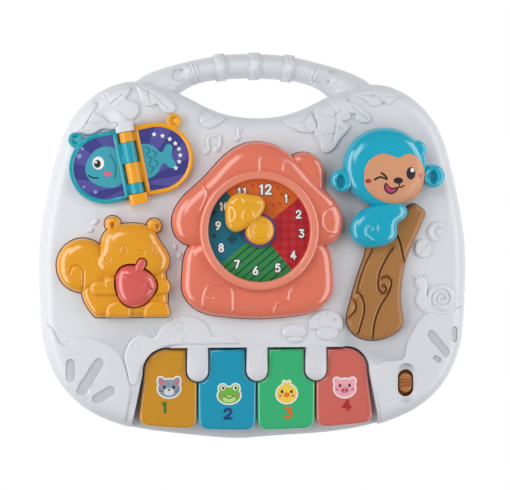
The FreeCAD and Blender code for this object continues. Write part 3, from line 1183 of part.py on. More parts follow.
def build_nodes():
    """Every sub-part by name, in the board's own axes."""
    nodes = {
        "top_shell": make_top_shell(),
        "bottom_shell": make_bottom_shell(),
        "handle_plugs": make_handle_plugs(),
        "handle_screws": make_handle_screws(),
        "house_cover": make_house_cover(),
        "clock_dial": make_clock_dial(),
        "clock_hub_ring": make_clock_hub_ring(),
        "clock_pointer": make_clock_pointer(),
        "pointer_clip": make_pointer_clip(),
        "tree_trunk": make_tree_trunk(),
        "monkey_figure": make_monkey_figure(),
        "monkey_face": make_monkey_face(),
        "monkey_pivot": make_monkey_pivot(),
        "squirrel_cover": make_squirrel_cover(),
        "acorn_button": make_acorn_button(),
        "acorn_dome": dome(ACORN_CENTRE[0], ACORN_CENTRE[1], BUTTON_BOARD_Z),
        "button_board": make_button_board(),
        "book_left_leaf": hinge_place(to_left(make_leaf(LEFT_KNUCKLES))),
        "book_left_picture": hinge_place(to_left(make_leaf_picture())),
        "book_right_leaf": hinge_place(make_leaf(RIGHT_KNUCKLES)),
        "book_right_picture": hinge_place(make_leaf_picture()),
        "hinge_pin": hinge_place(make_hinge_pin()),
        "hinge_bracket": hinge_place(make_hinge_bracket()),
        "key_axle": make_key_axle(),
        "circuit_board": make_circuit_board(),
        "switch_knob": make_switch_knob(),
        "switch_body": make_switch_body(),
        "speaker": make_speaker(),
        "batteries": make_batteries(),
        "battery_contacts": make_battery_contacts(),
        "battery_door": make_battery_door(),
        "door_screw": make_door_screw(),
        "shell_screws": make_shell_screws(),
    }
    for index in range(4):
        nodes["key_%d" % (index + 1)] = make_key(index)
        nodes["key_dome_%d" % (index + 1)] = dome(key_centre_x(index), PLUNGER_Y, CIRCUIT_TOP_Z)
    for number, (x, y) in enumerate(LEG_POINTS, 1):
        nodes["leg_%d" % number] = make_leg(x, y)
        nodes["foot_%d" % number] = make_foot(x, y)
    return nodes


def main():
    """Build every node, move the origin to the middle of the bounding box and write the parts."""
    os.makedirs("parts", exist_ok=True)
    front = BOARD_RIGHT[0][1]
    back = HANDLE_STATIONS[0][1] + HANDLE_STATIONS[0][2] + COLLAR_PROUD
    centring = vec(0, -(front + back) / 2)
    for name, shape in build_nodes().items():
        shape.translate(centring)
        shape.exportStep("parts/%s.step" % name)
        print("%-18s solids %d valid %s volume %.0f" % (name, len(shape.Solids), shape.isValid(), shape.Volume))
    print("clock axis", vec(0, DIAL_CENTRE_Y) + centring)
    print("monkey axis", vec(*MONKEY_PIVOT) + centring)
    print("key axle", vec(0, AXLE_Y, AXLE_Z) + centring,
          "travel", math.degrees(math.asin(KEY_FRONT_DROP / (AXLE_Y - KEY_FRONT_Y))))
    print("hinge", vec(HINGE_CENTRE[0], HINGE_CENTRE[1], HINGE_Z) + centring, HINGE_TURN_DEG)


main()
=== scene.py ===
"""Looks of the musical activity table: finishes, fine reliefs, printed art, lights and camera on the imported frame.

Lengths are written in millimetres in the table's own frame, with its origin on the floor and +Y towards the
carry handle. Reliefs and prints are placed on a plan of the deck, whose unit and middle PLAN gives.
"""
import json
import logging
import math
from dataclasses import dataclass
from enum import Enum
from typing import Callable, Sequence, Union

import bmesh
import bpy
import numpy as np
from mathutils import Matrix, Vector
from mathutils.bvhtree import BVHTree
from mathutils.geometry import delaunay_2d_cdt

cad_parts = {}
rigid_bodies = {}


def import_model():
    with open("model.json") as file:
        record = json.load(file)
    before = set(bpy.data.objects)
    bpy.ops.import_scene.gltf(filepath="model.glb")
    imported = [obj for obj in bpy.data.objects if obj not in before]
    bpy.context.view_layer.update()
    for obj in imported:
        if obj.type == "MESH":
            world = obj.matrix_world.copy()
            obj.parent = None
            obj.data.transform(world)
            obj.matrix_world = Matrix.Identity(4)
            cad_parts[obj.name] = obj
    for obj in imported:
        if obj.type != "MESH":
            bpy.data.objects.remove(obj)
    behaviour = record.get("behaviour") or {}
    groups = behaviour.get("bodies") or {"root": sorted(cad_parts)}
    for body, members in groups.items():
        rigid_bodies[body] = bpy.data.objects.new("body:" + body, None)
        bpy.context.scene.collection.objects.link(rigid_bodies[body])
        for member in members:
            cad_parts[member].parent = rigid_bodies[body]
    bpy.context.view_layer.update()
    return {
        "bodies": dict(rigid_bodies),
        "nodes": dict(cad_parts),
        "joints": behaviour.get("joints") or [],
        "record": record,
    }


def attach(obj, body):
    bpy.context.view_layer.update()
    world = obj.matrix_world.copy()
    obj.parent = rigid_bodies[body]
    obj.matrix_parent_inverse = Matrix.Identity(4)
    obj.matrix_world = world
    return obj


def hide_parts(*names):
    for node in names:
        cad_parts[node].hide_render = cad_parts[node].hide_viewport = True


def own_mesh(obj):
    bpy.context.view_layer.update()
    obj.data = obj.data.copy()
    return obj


logging.basicConfig(level=logging.INFO, format="%(levelname)s %(message)s")
log = logging.getLogger("activity_table")

Points = Union[np.ndarray, Sequence[Sequence[float]]]
Pair = Union[np.ndarray, Sequence[float]]
Surface = Union[float, Callable[[np.ndarray], np.ndarray]]

MM = 0.001
CENTRING = -0.35
DECK_Z = 247.0
COAT_ROUGHNESS = 0.12
CLOUD_SIZE = 35.0
GRAIN_STRENGTH = 0.25
CAST_HEIGHT = 0.4


class Body(Enum):
    """Rigid bodies of the frame that pieces ride on."""

    BOARD = "board"
    POINTER = "pointer"
    MONKEY = "monkey"
    LEFT_LEAF = "left_leaf"
    RIGHT_LEAF = "right_leaf"
    ACORN = "acorn"
    KEY_1 = "key_left"
    KEY_2 = "key_mid_left"
    KEY_3 = "key_mid_right"
    KEY_4 = "key_right"
    SWITCH = "switch"


# ---------------------------------------------------------------- plan and curves


@dataclass(frozen=True)
class Plan:
    """Drawing of the deck seen from above: unit, middle and how far a raised point is drawn to the right.

    Args:
        unit: millimetres for one unit of the drawing.
        middle: drawing position of the board's centre.
        lean: sideways shift of the drawing for each millimetre of height.
        distance: distance from which the drawing was made, in millimetres.
    """

    unit: float = 0.767
    middle: tuple = (257.5, 245.5)
    lean: float = 0.12
    distance: float = 1200.0

    def at(self, points: Points, height: float = 0.0) -> np.ndarray:
        """Positions in millimetres of drawn points.

        Args:
            points: pairs of drawing coordinates, with y downwards.
            height: height above the deck of what is drawn.

        Returns:
            An (n, 2) array.
        """
        drawn = np.atleast_2d(np.asarray(points, float))
        shrink = 1.0 - height / self.distance
        x = (drawn[:, 0] - self.middle[0]) * self.unit * shrink - self.lean * height
        y = (self.middle[1] - drawn[:, 1]) * self.unit * shrink
        return np.column_stack([x, y])


PLAN = Plan()


def counter_clockwise(points: np.ndarray) -> np.ndarray:
    """The closed outline listed counter-clockwise."""
    x, y = points[:, 0], points[:, 1]
    twice_area = np.sum(x * np.roll(y, -1) - np.roll(x, -1) * y)
    return points if twice_area > 0 else points[::-1].copy()


def even_steps(points: np.ndarray, count: int, closed: bool) -> np.ndarray:
    """Points moved along their own polyline until they are evenly spaced."""
    line = np.vstack([points, points[:1]]) if closed else points
    reach = np.concatenate([[0.0], np.cumsum(np.linalg.norm(np.diff(line, axis=0), axis=1))])
    wanted = np.linspace(0.0, reach[-1], count, endpoint=not closed)
    return np.column_stack([np.interp(wanted, reach, line[:, axis]) for axis in range(line.shape[1])])


def smooth_loop(points: Points, count: int = 160) -> np.ndarray:
    """Closed smooth curve through a few points: a periodic cubic spline over the chord lengths.

    Args:
        points: pairs in millimetres.
        count: number of evenly spaced points returned.

    Returns:
        A (count, 2) array, counter-clockwise.
    """
    knots = counter_clockwise(np.asarray(points, float))
    number = len(knots)
    after = np.linalg.norm(np.roll(knots, -1, 0) - knots, axis=1)
    before = np.roll(after, 1)
    here = np.arange(number)
    system = np.zeros((number, number))
    system[here, here] = 2.0 * (after + before)
    system[here, (here + 1) % number] += after
    system[here, (here - 1) % number] += before
    slope = (np.roll(knots, -1, 0) - knots) / after[:, None]
    bend = np.linalg.solve(system, 6.0 * (slope - np.roll(slope, 1, 0)))
    part = np.linspace(0.0, 1.0, 24, endpoint=False)[None, :, None]
    span = after[:, None, None]
    start, end = knots[:, None, :], np.roll(knots, -1, 0)[:, None, :]
    bend_start, bend_end = bend[:, None, :], np.roll(bend, -1, 0)[:, None, :]
    straight = start * (1 - part) + end * part
    bow = ((1 - part) ** 3 - (1 - part)) * bend_start + (part ** 3 - part) * bend_end
    curve = straight + bow * span ** 2 / 6.0
    return even_steps(curve.reshape(-1, 2), count, True)


def smooth_path(points: Points, count: int = 60) -> np.ndarray:
    """Open smooth curve through a few points: each span blends the parabolas through its neighbours."""
    knots = np.asarray(points, float)
    if len(knots) == 2:
        return np.linspace(knots[0], knots[1], count)
    padded = np.vstack([2 * knots[0] - knots[1], knots, 2 * knots[-1] - knots[-2]])
    pieces = []
    for a, b, c, d in zip(padded, padded[1:], padded[2:], padded[3:]):
        t = np.linspace(0.0, 1.0, 16, endpoint=False)[:, None]
        pieces.append(0.5 * (2 * b + (c - a) * t + (2 * a - 5 * b + 4 * c - d) * t ** 2
                             + (3 * b - a - 3 * c + d) * t ** 3))
    return even_steps(np.vstack(pieces + [knots[-1:]]), count, False)


def ellipse(centre: Pair, radii: Pair, turn: float = 0.0, count: int = 64) -> np.ndarray:
    """Closed ellipse about a centre, turned by degrees."""
    angle = np.linspace(0.0, 2 * math.pi, count, endpoint=False)
    tilt = math.radians(turn)
    x, y = radii[0] * np.cos(angle), radii[1] * np.sin(angle)
    return np.column_stack([centre[0] + x * math.cos(tilt) - y * math.sin(tilt),
                            centre[1] + x * math.sin(tilt) + y * math.cos(tilt)])


def stadium(start: Pair, end: Pair, radius: float, count: int = 72) -> np.ndarray:
    """Closed outline of everything within a radius of the line between two points."""
    start, end = np.asarray(start, float), np.asarray(end, float)
    heading = math.atan2(*(end - start)[::-1])
    angle = np.linspace(-math.pi / 2, math.pi / 2, count // 2)
    cap = np.column_stack([np.cos(angle + heading), np.sin(angle + heading)]) * radius
    back = np.column_stack([np.cos(angle + heading + math.pi), np.sin(angle + heading + math.pi)]) * radius
    return even_steps(np.vstack([end + cap, start + back]), count, True)


def inwards(loop: np.ndarray, inset: float) -> np.ndarray:
    """A counter-clockwise loop with each point moved inwards along its normal."""
    along = np.roll(loop, -1, 0) - np.roll(loop, 1, 0)
    along /= np.linalg.norm(along, axis=1)[:, None] + 1e-12
    return loop + np.column_stack([-along[:, 1], along[:, 0]]) * inset


def spiral(centre: Pair, outer: float, inner: float, start: float, turns: float,
           count: int = 90) -> np.ndarray:
    """Open spiral that winds inwards about a centre, from an angle in degrees, anticlockwise if turns > 0."""
    part = np.linspace(0.0, 1.0, count)
    angle = math.radians(start) + part * turns * 2 * math.pi
    radius = outer + (inner - outer) * part
    return np.column_stack([centre[0] + radius * np.cos(angle), centre[1] + radius * np.sin(angle)])


def distance_to_path(points: np.ndarray, path: np.ndarray, closed: bool = False) -> np.ndarray:
    """Distance of each point from a polyline, worked out segment by segment on whole arrays."""
    line = np.vstack([path, path[:1]]) if closed else path
    nearest = np.full(len(points), np.inf)
    for first, last in zip(line, line[1:]):
        span = last - first
        share = np.clip(((points - first) @ span) / max(float(span @ span), 1e-12), 0.0, 1.0)
        nearest = np.minimum(nearest, np.linalg.norm(points - first - share[:, None] * span, axis=1))
    return nearest


def inside(points: np.ndarray, loop: np.ndarray) -> np.ndarray:
    """Which points lie inside a closed loop, by counting the edges that a ray to the right crosses."""
    x, y = points[:, 0], points[:, 1]
    found = np.zeros(len(points), bool)
    for (ax, ay), (bx, by) in zip(loop, np.roll(loop, -1, 0)):
        if ay == by:
            continue
        crosses = (ay > y) != (by > y)
        found ^= crosses & (x < (bx - ax) * (y - ay) / (by - ay) + ax)
    return found


# ---------------------------------------------------------------- solids


def levels(surface: Surface, points: np.ndarray) -> np.ndarray:
    """Heights of a surface, given as one level or as a function of positions, at some points."""
    return surface(points) if callable(surface) else np.full(len(points), float(surface))


def triangulated(points: np.ndarray, edges: Points) -> tuple:
    """Constrained triangles over points in the plane, as (points, triangles) arrays, turned upwards."""
    made = delaunay_2d_cdt([Vector(p) for p in points.tolist()], edges, [], 0, 1e-5)
    plane = np.array([tuple(p) for p in made[0]])
    triangles = np.array([face for face in made[2] if len(face) == 3], int)
    a, b, c = (plane[triangles[:, column]] for column in range(3))
    turned = (b[:, 0] - a[:, 0]) * (c[:, 1] - a[:, 1]) - (b[:, 1] - a[:, 1]) * (c[:, 0] - a[:, 0]) < 0
    triangles[turned] = triangles[turned][:, ::-1]
    return plane, triangles


def filled(loop: np.ndarray, holes: Sequence = (), extra: np.ndarray = None) -> tuple:
    """Triangles that fill a loop, less its holes, with extra points inside.

    Returns:
        Plane points and triangles.
    """
    chain = [np.asarray(loop, float)] + [np.asarray(hole, float) for hole in holes]
    edges, start = [], 0
    for ring in chain:
        here = np.arange(len(ring))
        edges.extend(np.column_stack([here + start, (here + 1) % len(ring) + start]).tolist())
        start += len(ring)
    points = np.vstack(chain + ([extra] if extra is not None and len(extra) else []))
    points, triangles = triangulated(points, edges)
    middles = points[triangles].mean(axis=1)
    keep = inside(middles, chain[0])
    for hole in chain[1:]:
        keep &= ~inside(middles, hole)
    return points, triangles[keep]


def lattice(loop: np.ndarray, step: float) -> np.ndarray:
    """A staggered grid of points inside a loop."""
    low, high = loop.min(axis=0), loop.max(axis=0)
    x, y = np.meshgrid(np.arange(low[0], high[0], step), np.arange(low[1], high[1], step * 0.87))
    x = x + (np.arange(len(y)) % 2)[:, None] * step / 2
    points = np.column_stack([x.ravel(), y.ravel()])
    return points[inside(points, loop)]


@dataclass(frozen=True)
class Mark:
    """A groove, or a bead where rise is above zero, along a path on a form.

    Args:
        path: (n, 2) points.
        width: full width.
        rise: height of its middle, below zero for a groove.
        closed: whether the path closes on itself.
        tone: material slot of its floor, for a darker finish painted there as shade.
        rim: height of the raised lips along its sides.
        flat: share of the width with a level floor.
    """

    path: np.ndarray
    width: float
    rise: float
    closed: bool = False
    tone: int = 0
    rim: float = 0.0
    flat: float = 0.0

    def lift(self, points: np.ndarray) -> np.ndarray:
        """Height that it adds at some points."""
        share = np.clip(distance_to_path(points, self.path, self.closed) * 2 / self.width, 0.0, 1.0)
        share = np.clip((share - self.flat) / (1 - self.flat), 0.0, 1.0)
        if not self.rim:
            return self.rise * 0.5 * (1 + np.cos(math.pi * share))
        edge = np.sin(math.pi * np.clip((share - 0.45) / 0.55, 0.0, 1.0))
        return self.rise * 0.5 * (1 + np.cos(math.pi * np.minimum(share / 0.55, 1.0))) + self.rim * edge

    def samples(self) -> np.ndarray:
        """Points that its section needs."""
        path = even_steps(self.path, max(int(length(self.path) / (self.width * 0.35)), 6), self.closed)
        if self.closed:
            along = np.roll(path, -1, 0) - np.roll(path, 1, 0)
        else:
            along = np.gradient(path, axis=0)
        along /= np.linalg.norm(along, axis=1)[:, None] + 1e-12
        side = np.column_stack([-along[:, 1], along[:, 0]])
        shares = (0.0, 0.2, 0.38, 0.55)
        if self.flat:
            shares = (0.0, 0.25, 0.5 * self.flat, 0.25 + 0.25 * self.flat, 0.5)
        ends = [ellipse(end, (self.width * share,) * 2, 0.0, 32) for end in (path[0], path[-1])
                for share in shares[1:] if self.flat]
        return np.vstack([path + side * self.width * share for share in shares]
                         + [path - side * self.width * share for share in shares[1:]] + ends)


@dataclass(frozen=True)
class Pit:
    """A round hollow, or a round bump where depth is below zero, with sloping sides.

    Args:
        centre, radii: its ellipse at the surface.
        depth: depth of its floor.
        slope: width of its sides.
        tone: material slot of its floor, for a darker finish painted there as shade.
    """

    centre: tuple
    radii: tuple
    depth: float
    slope: float
    tone: int = 0

    def lift(self, points: np.ndarray) -> np.ndarray:
        """Height that it adds at some points."""
        apart = (points - np.asarray(self.centre)) / np.asarray(self.radii)
        inner = (1 - np.linalg.norm(apart, axis=1)) * min(self.radii)
        share = np.clip(inner / self.slope, 0.0, 1.0)
        return -self.depth * share * share * (3 - 2 * share)

    def samples(self) -> np.ndarray:
        """Points that its section needs."""
        rings = []
        for share in (0.0, 0.25, 0.5, 0.75, 1.0):
            inset = self.slope * share
            radii = (max(self.radii[0] - inset, 0.05), max(self.radii[1] - inset, 0.05))
            rings.append(ellipse(self.centre, radii, 0.0, max(int(min(self.radii) * 12), 20)))
        return np.vstack(rings)


def length(path: np.ndarray) -> float:
    """Length of an open polyline."""
    return float(np.linalg.norm(np.diff(path, axis=0), axis=1).sum())


class Form:
    """A moulded form that stands on a surface: a wall, a rolled edge, a crown and the marks on it.

    Args:
        outline: closed outline.
        base: the surface below, as one level or a function of positions.
        height: height of its top over the base.
        roll: width of the rolled edge.
        drop: depth of the rolled edge, or 0 for the full height.
        crown: extra height of the middle.
        marks: grooves, beads, hollows and bumps.
        holes: closed outlines of openings through it.
        step: spacing of points away from edges and marks.
        soft: reach over which the creases of the roll are evened out, or 0.
    """

    def __init__(self, outline: Points, base: Surface, height: float, roll: float, drop: float = 0.0,
                 crown: float = 0.0, marks: Sequence = (), holes: Sequence = (), step: float = 2.2,
                 soft: float = 0.0) -> None:
        """Keeps the sizes and turns the outlines anticlockwise."""
        self.outline = counter_clockwise(np.asarray(outline, float))
        self.base = base
        self.height = height
        self.roll = roll
        self.drop = drop or height
        self.crown = crown
        self.marks = marks
        self.holes = [counter_clockwise(np.asarray(hole, float)) for hole in holes]
        self.step = step
        self.soft = soft
        low, high = self.outline.min(axis=0), self.outline.max(axis=0)
        self.middle, self.reach = (low + high) / 2, (high - low) / 2

    def share(self, points: np.ndarray) -> np.ndarray:
        """How far up the rolled edge some points are: 0 at the outline, 1 inside, averaged over the soft reach."""
        near = distance_to_path(points, self.outline, True)
        share = np.clip(near / self.roll, 0.0, 1.0)
        if self.soft:
            reach = np.minimum(0.7 * near, self.soft)[:, None]
            turns = np.arange(8) * math.pi / 4
            around = [distance_to_path(points + reach * (math.cos(turn), math.sin(turn)), self.outline, True)
                      for turn in turns]
            share = (share + np.clip(np.array(around) / self.roll, 0.0, 1.0).sum(axis=0)) / 9
        return np.where(inside(points, self.outline), share, 0.0)

    def level(self, points: np.ndarray) -> np.ndarray:
        """Heights of its surface at some points."""
        share = self.share(points)
        height = levels(self.base, points) + self.height - self.drop + self.drop * np.sqrt(1 - (1 - share) ** 2)
        if self.crown:
            apart = (points - self.middle) / self.reach
            height += self.crown * share * np.clip(1 - (apart ** 2).sum(axis=1), 0.0, 1.0)
        for mark in self.marks:
            height += mark.lift(points)
        return height

    def samples(self) -> np.ndarray:
        """Points inside the outline: close to its edge, evenly over the rest, and over each mark."""
        parts = []
        for turn in np.linspace(0.0, math.pi / 2, 7)[1:]:
            inset = self.roll * (1 - math.cos(turn))
            ring = inwards(self.outline, inset)
            parts.append(ring[distance_to_path(ring, self.outline, True) > inset * 0.96])
        grid = lattice(self.outline, self.step)
        parts.append(grid[distance_to_path(grid, self.outline, True) > min(self.roll * 1.1, self.roll + 0.8)])
        points = np.vstack(parts)
        for mark in self.marks:
            own = mark.samples()
            near = np.abs(mark.lift(points)) > 1e-4
            points = np.vstack([points[~near], own[distance_to_path(own, self.outline, True) > 0.25]])
        return points[inside(points, self.outline)]

    def add_to(self, solid: "Solid", slot: int = 0, skirt: float = 0.4, seam: int = 0) -> None:
        """Adds its faces to a solid: the top, the wall down to the base and, in the given slot, a dark strip round
        its foot: painted shade for the gap to the base.
        """
        points, triangles = filled(self.outline, self.holes, self.samples())
        middles = points[triangles].mean(axis=1)
        tones = np.full(len(triangles), slot)
        # Faces deep in a mark with a tone take its slot: painted shade on the floors of hollows and grooves.
        for mark in self.marks:
            if mark.tone:
                shade_floor = np.abs(mark.lift(middles)) > 0.35 * abs(getattr(mark, "rise", getattr(mark, "depth", 1.0)))
                tones[shade_floor] = mark.tone
        solid.add(np.column_stack([points, self.level(points)]), triangles.tolist(), tones.tolist())
        self.add_wall(solid, self.outline, slot, skirt)
        # Painted shade: a dark strip round its foot, where the gap to the base lies in shadow.
        if seam:
            solid.seam(self.outline, float(self.base) + 0.03 + 0.01 * (len(solid.points) % 5), seam)
        for hole in self.holes:
            self.add_wall(solid, hole[::-1], slot, skirt)

    def add_wall(self, solid: "Solid", ring: np.ndarray, slot: int, skirt: float) -> None:
        """Adds the wall under one outline, where it lies within the form."""
        within = inside(ring, self.outline) | (distance_to_path(ring, self.outline, True) < 1e-6)
        for hole in self.holes:
            if distance_to_path(ring[:1], hole, True)[0] > 1e-6:
                within &= ~inside(ring, hole)
        top = np.column_stack([ring, self.level(ring)])
        foot = np.column_stack([ring, levels(self.base, ring) - skirt])
        count = len(ring)
        faces = [(i, (i + 1) % count, (i + 1) % count + count, i + count) for i in range(count)
                 if within[i] and within[(i + 1) % count]]
        solid.add(np.vstack([foot, top]), faces, slot)


class Solid:
    """Vertices and faces of one piece while it is made, in millimetres."""

    def __init__(self) -> None:
        """Starts without a point."""
        self.points: list = []
        self.faces: list = []
        self.slots: list = []
        self.total = 0

    def add(self, points: np.ndarray, faces: Sequence, slot: Union[int, list] = 0) -> None:
        """Adds a patch, with its faces counted from its own first point and one slot or one for each face."""
        self.points.append(np.asarray(points, float))
        self.faces.extend([tuple(int(i) + self.total for i in face) for face in faces])
        self.slots.extend(slot if isinstance(slot, list) else [slot] * len(faces))
        self.total += len(points)

    def revolve(self, profile: Points, centre: Pair, slot: int = 0, count: int = 160) -> None:
        """Adds the surface swept by a profile of (radius, level) pairs about an upright axis."""
        profile = np.asarray(profile, float)
        angle = np.linspace(0.0, 2 * math.pi, count, endpoint=False)
        grid = np.empty((len(profile), count + 1, 3))
        angle = np.append(angle, 0.0)
        grid[:, :, 0] = centre[0] + profile[:, :1] * np.cos(angle)
        grid[:, :, 1] = centre[1] + profile[:, :1] * np.sin(angle)
        grid[:, :, 2] = profile[:, 1:]
        self.grid(grid, slot)

    def ridge(self, path: np.ndarray, width: float, height: float, surface: Surface, slot: int = 0,
              taper: float = 0.12) -> None:
        """Adds a half-round bead along a path on a surface.

        Args:
            path: (n, 2) points.
            width, height: size of the bead's half-oval section.
            surface: the surface below, as one level or a function of positions.
            slot: material slot.
            taper: share of the length over which each end runs out.
        """
        along = np.gradient(path, axis=0)
        along /= np.linalg.norm(along, axis=1)[:, None] + 1e-12
        side = np.column_stack([-along[:, 1], along[:, 0]])
        place = np.linspace(0.0, 1.0, len(path))
        ends = np.clip(np.minimum(place, 1 - place) / max(taper, 1e-6), 0.0, 1.0)
        size = np.maximum(np.sqrt(1 - (1 - ends) ** 2), 0.03)
        angle = np.linspace(0.0, math.pi, 9)
        grid = np.empty((len(path), len(angle), 3))
        for column, turn in enumerate(angle):
            place = path + side * (math.cos(turn) * width / 2 * size)[:, None]
            grid[:, column, :2] = place
            grid[:, column, 2] = levels(surface, place) + math.sin(turn) * height * size - 0.05
        self.grid(grid, slot)

    def grid(self, grid: np.ndarray, slot: int = 0) -> None:
        """Adds a sheet of quads over a (rows, columns, 3) grid of points."""
        rows, columns = grid.shape[:2]
        corner = (np.arange(rows - 1)[:, None] * columns + np.arange(columns - 1)[None, :]).ravel()
        faces = np.column_stack([corner, corner + 1, corner + columns + 1, corner + columns]).tolist()
        self.add(grid.reshape(-1, 3), faces, slot)

    def drape(self, loop: np.ndarray, surface: Surface, lift: float, slot: int = 0, holes: Sequence = (),
              step: float = 1.6) -> None:
        """Adds a thin print that lies on a surface inside a loop."""
        extra = lattice(loop, step) if callable(surface) else None
        points, triangles = filled(loop, holes, extra)
        self.add(np.column_stack([points, levels(surface, points) + lift]), triangles.tolist(), slot)

    def stroke(self, path: Points, width: float, surface: Surface, lift: float, slot: int = 0) -> None:
        """Adds a printed line with round ends along a smooth path."""
        self.strokes([path], width, surface, lift, slot)

    def strokes(self, paths: Sequence, width: float, surface: Surface, lift: float, slot: int = 0) -> None:
        """Adds printed lines with round ends as one region, also where they cross.

        Args:
            paths: smooth paths of the lines' middles.
            width: width of the lines.
            surface, lift: where the print lies.
            slot: material slot.
        """
        half = width / 2
        parts = []
        for path in paths:
            path = even_steps(np.asarray(path, float), max(int(length(path) / (half * 0.45)), 4), False)
            along = np.gradient(path, axis=0)
            along /= np.linalg.norm(along, axis=1)[:, None] + 1e-12
            side = np.column_stack([-along[:, 1], along[:, 0]]) * half
            ends = [ellipse(end, (half, half), 0.0, 20) for end in (path[0], path[-1])]
            parts += [path, path + side, path - side] + ends
        points = np.vstack(parts)
        rim = points[self.apart(points, paths) > half * 0.97]
        points = np.vstack([rim] + parts[::5])
        points, triangles = triangulated(points, [])
        keep = self.apart(points[triangles].mean(axis=1), paths) < half * 0.999
        self.add(np.column_stack([points, levels(surface, points) + lift]), triangles[keep].tolist(), slot)

    @staticmethod
    def apart(points: np.ndarray, paths: Sequence) -> np.ndarray:
        """Distance of points from the nearest of several paths."""
        return np.min([distance_to_path(points, np.asarray(path, float)) for path in paths], axis=0)

    def seam(self, loop: np.ndarray, level: float, slot: int, width: float = 0.7) -> None:
        """Adds a dark strip round the foot of a form: painted shade for the shadowed gap between the form and the
        deck.
        """
        loop = np.vstack([loop, loop[:1]])
        ring = counter_clockwise(loop[:-1])
        outer, inner = inwards(ring, -width), inwards(ring, 0.3)
        strip = np.stack([np.vstack([outer, outer[:1]]), np.vstack([inner, inner[:1]])])
        self.grid(np.dstack([strip, np.full(strip.shape[:2], level)]), slot)

    def mesh(self, name: str) -> bpy.types.Mesh:
        """The finished mesh in metres, in the table's frame, with shared corners merged."""
        points = np.vstack(self.points)
        points[:, 1] += CENTRING
        mesh = bpy.data.meshes.new(name)
        mesh.from_pydata((points * MM).tolist(), [], self.faces)
        mesh.polygons.foreach_set("material_index", np.asarray(self.slots, np.int32))
        merge_corners(mesh, 0.002)
        return mesh


def merge_corners(mesh: bpy.types.Mesh, reach: float) -> None:
    """Merges the corners of a mesh that lie within reach, in millimetres."""
    work = bmesh.new()
    work.from_mesh(mesh)
    bmesh.ops.remove_doubles(work, verts=work.verts, dist=reach * MM)
    work.to_mesh(mesh)
    work.free()
    mesh.update()


# ---------------------------------------------------------------- finishes


def linear(code: str) -> tuple:
    """Scene-linear colour of an sRGB hex code."""
    parts = [int(code[i:i + 2], 16) / 255 for i in (1, 3, 5)]
    return tuple(c / 12.92 if c <= 0.04045 else ((c + 0.055) / 1.055) ** 2.4 for c in parts) + (1.0,)


@dataclass(frozen=True)
class Finish:
    """One moulded or printed surface.

    Args:
        name: material name.
        colour: sRGB hex code.
        roughness: middle of the roughness range.
        coat: weight of the clear gloss over the colour.
        metallic: 1 for bare metal.
        grain: height of the moulded grain, in millimetres.
        grain_size: width of the grain, in millimetres.
        mottle: share by which the colour varies over the surface.
        slot: material slot of the record that the finish belongs to; not used.
    """

    name: str
    colour: str
    roughness: float = 0.32
    coat: float = 0.25
    metallic: float = 0.0
    grain: float = 0.02
    grain_size: float = 0.9
    mottle: float = 0.03
    slot: str = ""

    def material(self) -> bpy.types.Material:
        """The node material, made once for each finish."""
        known = bpy.data.materials.get("look_" + self.name)
        if known:
            return known
        material = bpy.data.materials.new("look_" + self.name)
        material.use_nodes = True
        nodes, links = material.node_tree.nodes, material.node_tree.links
        shader = nodes["Principled BSDF"]
        shader.inputs["Metallic"].default_value = self.metallic
        shader.inputs["Coat Weight"].default_value = self.coat
        shader.inputs["Coat Roughness"].default_value = COAT_ROUGHNESS
        where = nodes.new("ShaderNodeTexCoord")
        cloud = nodes.new("ShaderNodeTexNoise")
        cloud.inputs["Scale"].default_value = 1 / (CLOUD_SIZE * MM)
        cloud.inputs["Detail"].default_value = 2.0
        links.new(where.outputs["Object"], cloud.inputs["Vector"])
        tone = nodes.new("ShaderNodeMix")
        tone.data_type = "RGBA"
        base = linear(self.colour)
        tone.inputs["A"].default_value = tuple(c * (1 - self.mottle) for c in base[:3]) + (1.0,)
        tone.inputs["B"].default_value = tuple(min(c * (1 + self.mottle), 1.0) for c in base[:3]) + (1.0,)
        links.new(cloud.outputs["Fac"], tone.inputs["Factor"])
        links.new(tone.outputs["Result"], shader.inputs["Base Color"])
        spread = nodes.new("ShaderNodeMapRange")
        spread.inputs["To Min"].default_value = self.roughness * 0.85
        spread.inputs["To Max"].default_value = self.roughness * 1.15
        links.new(cloud.outputs["Fac"], spread.inputs["Value"])
        links.new(spread.outputs["Result"], shader.inputs["Roughness"])
        if self.grain:
            fine = nodes.new("ShaderNodeTexNoise")
            fine.inputs["Scale"].default_value = 1 / (self.grain_size * MM)
            fine.inputs["Detail"].default_value = 1.0
            links.new(where.outputs["Object"], fine.inputs["Vector"])
            bump = nodes.new("ShaderNodeBump")
            bump.inputs["Distance"].default_value = self.grain * MM
            bump.inputs["Strength"].default_value = GRAIN_STRENGTH
            links.new(fine.outputs["Fac"], bump.inputs["Height"])
            links.new(bump.outputs["Normal"], shader.inputs["Normal"])
        return material


# Moulded white ABS with a fine satin grain: broad, soft sheens and no sharp highlight.
WHITE = Finish("white_abs", "#DFE1E6", 0.36, 0.15, slot="shell_white")
UNDER_WHITE = Finish("white_abs_satin", "#DFE1E6", 0.45, 0.05, slot="under_white")
PLUG_WHITE = Finish("white_plug", "#D9DCE2", 0.38, 0.1, slot="plug_white")
LEG_WHITE = Finish("white_leg", "#DCDEE4", 0.42, 0.1, slot="leg_white")
# Moulded gloss ABS of the toys: a clear highlight runs along each rolled edge.
CORAL = Finish("coral_abs", "#EB7A60", 0.2, 1.0, slot="house_coral")
AMBER = Finish("amber_abs", "#EBA01A", 0.2, 1.0, slot="squirrel_amber")
ACORN_CORAL = Finish("acorn_coral", "#E0605A", 0.2, 1.0, slot="acorn_coral")
TURQUOISE = Finish("turquoise_abs", "#06AECB", 0.2, 1.0, slot="monkey_blue")
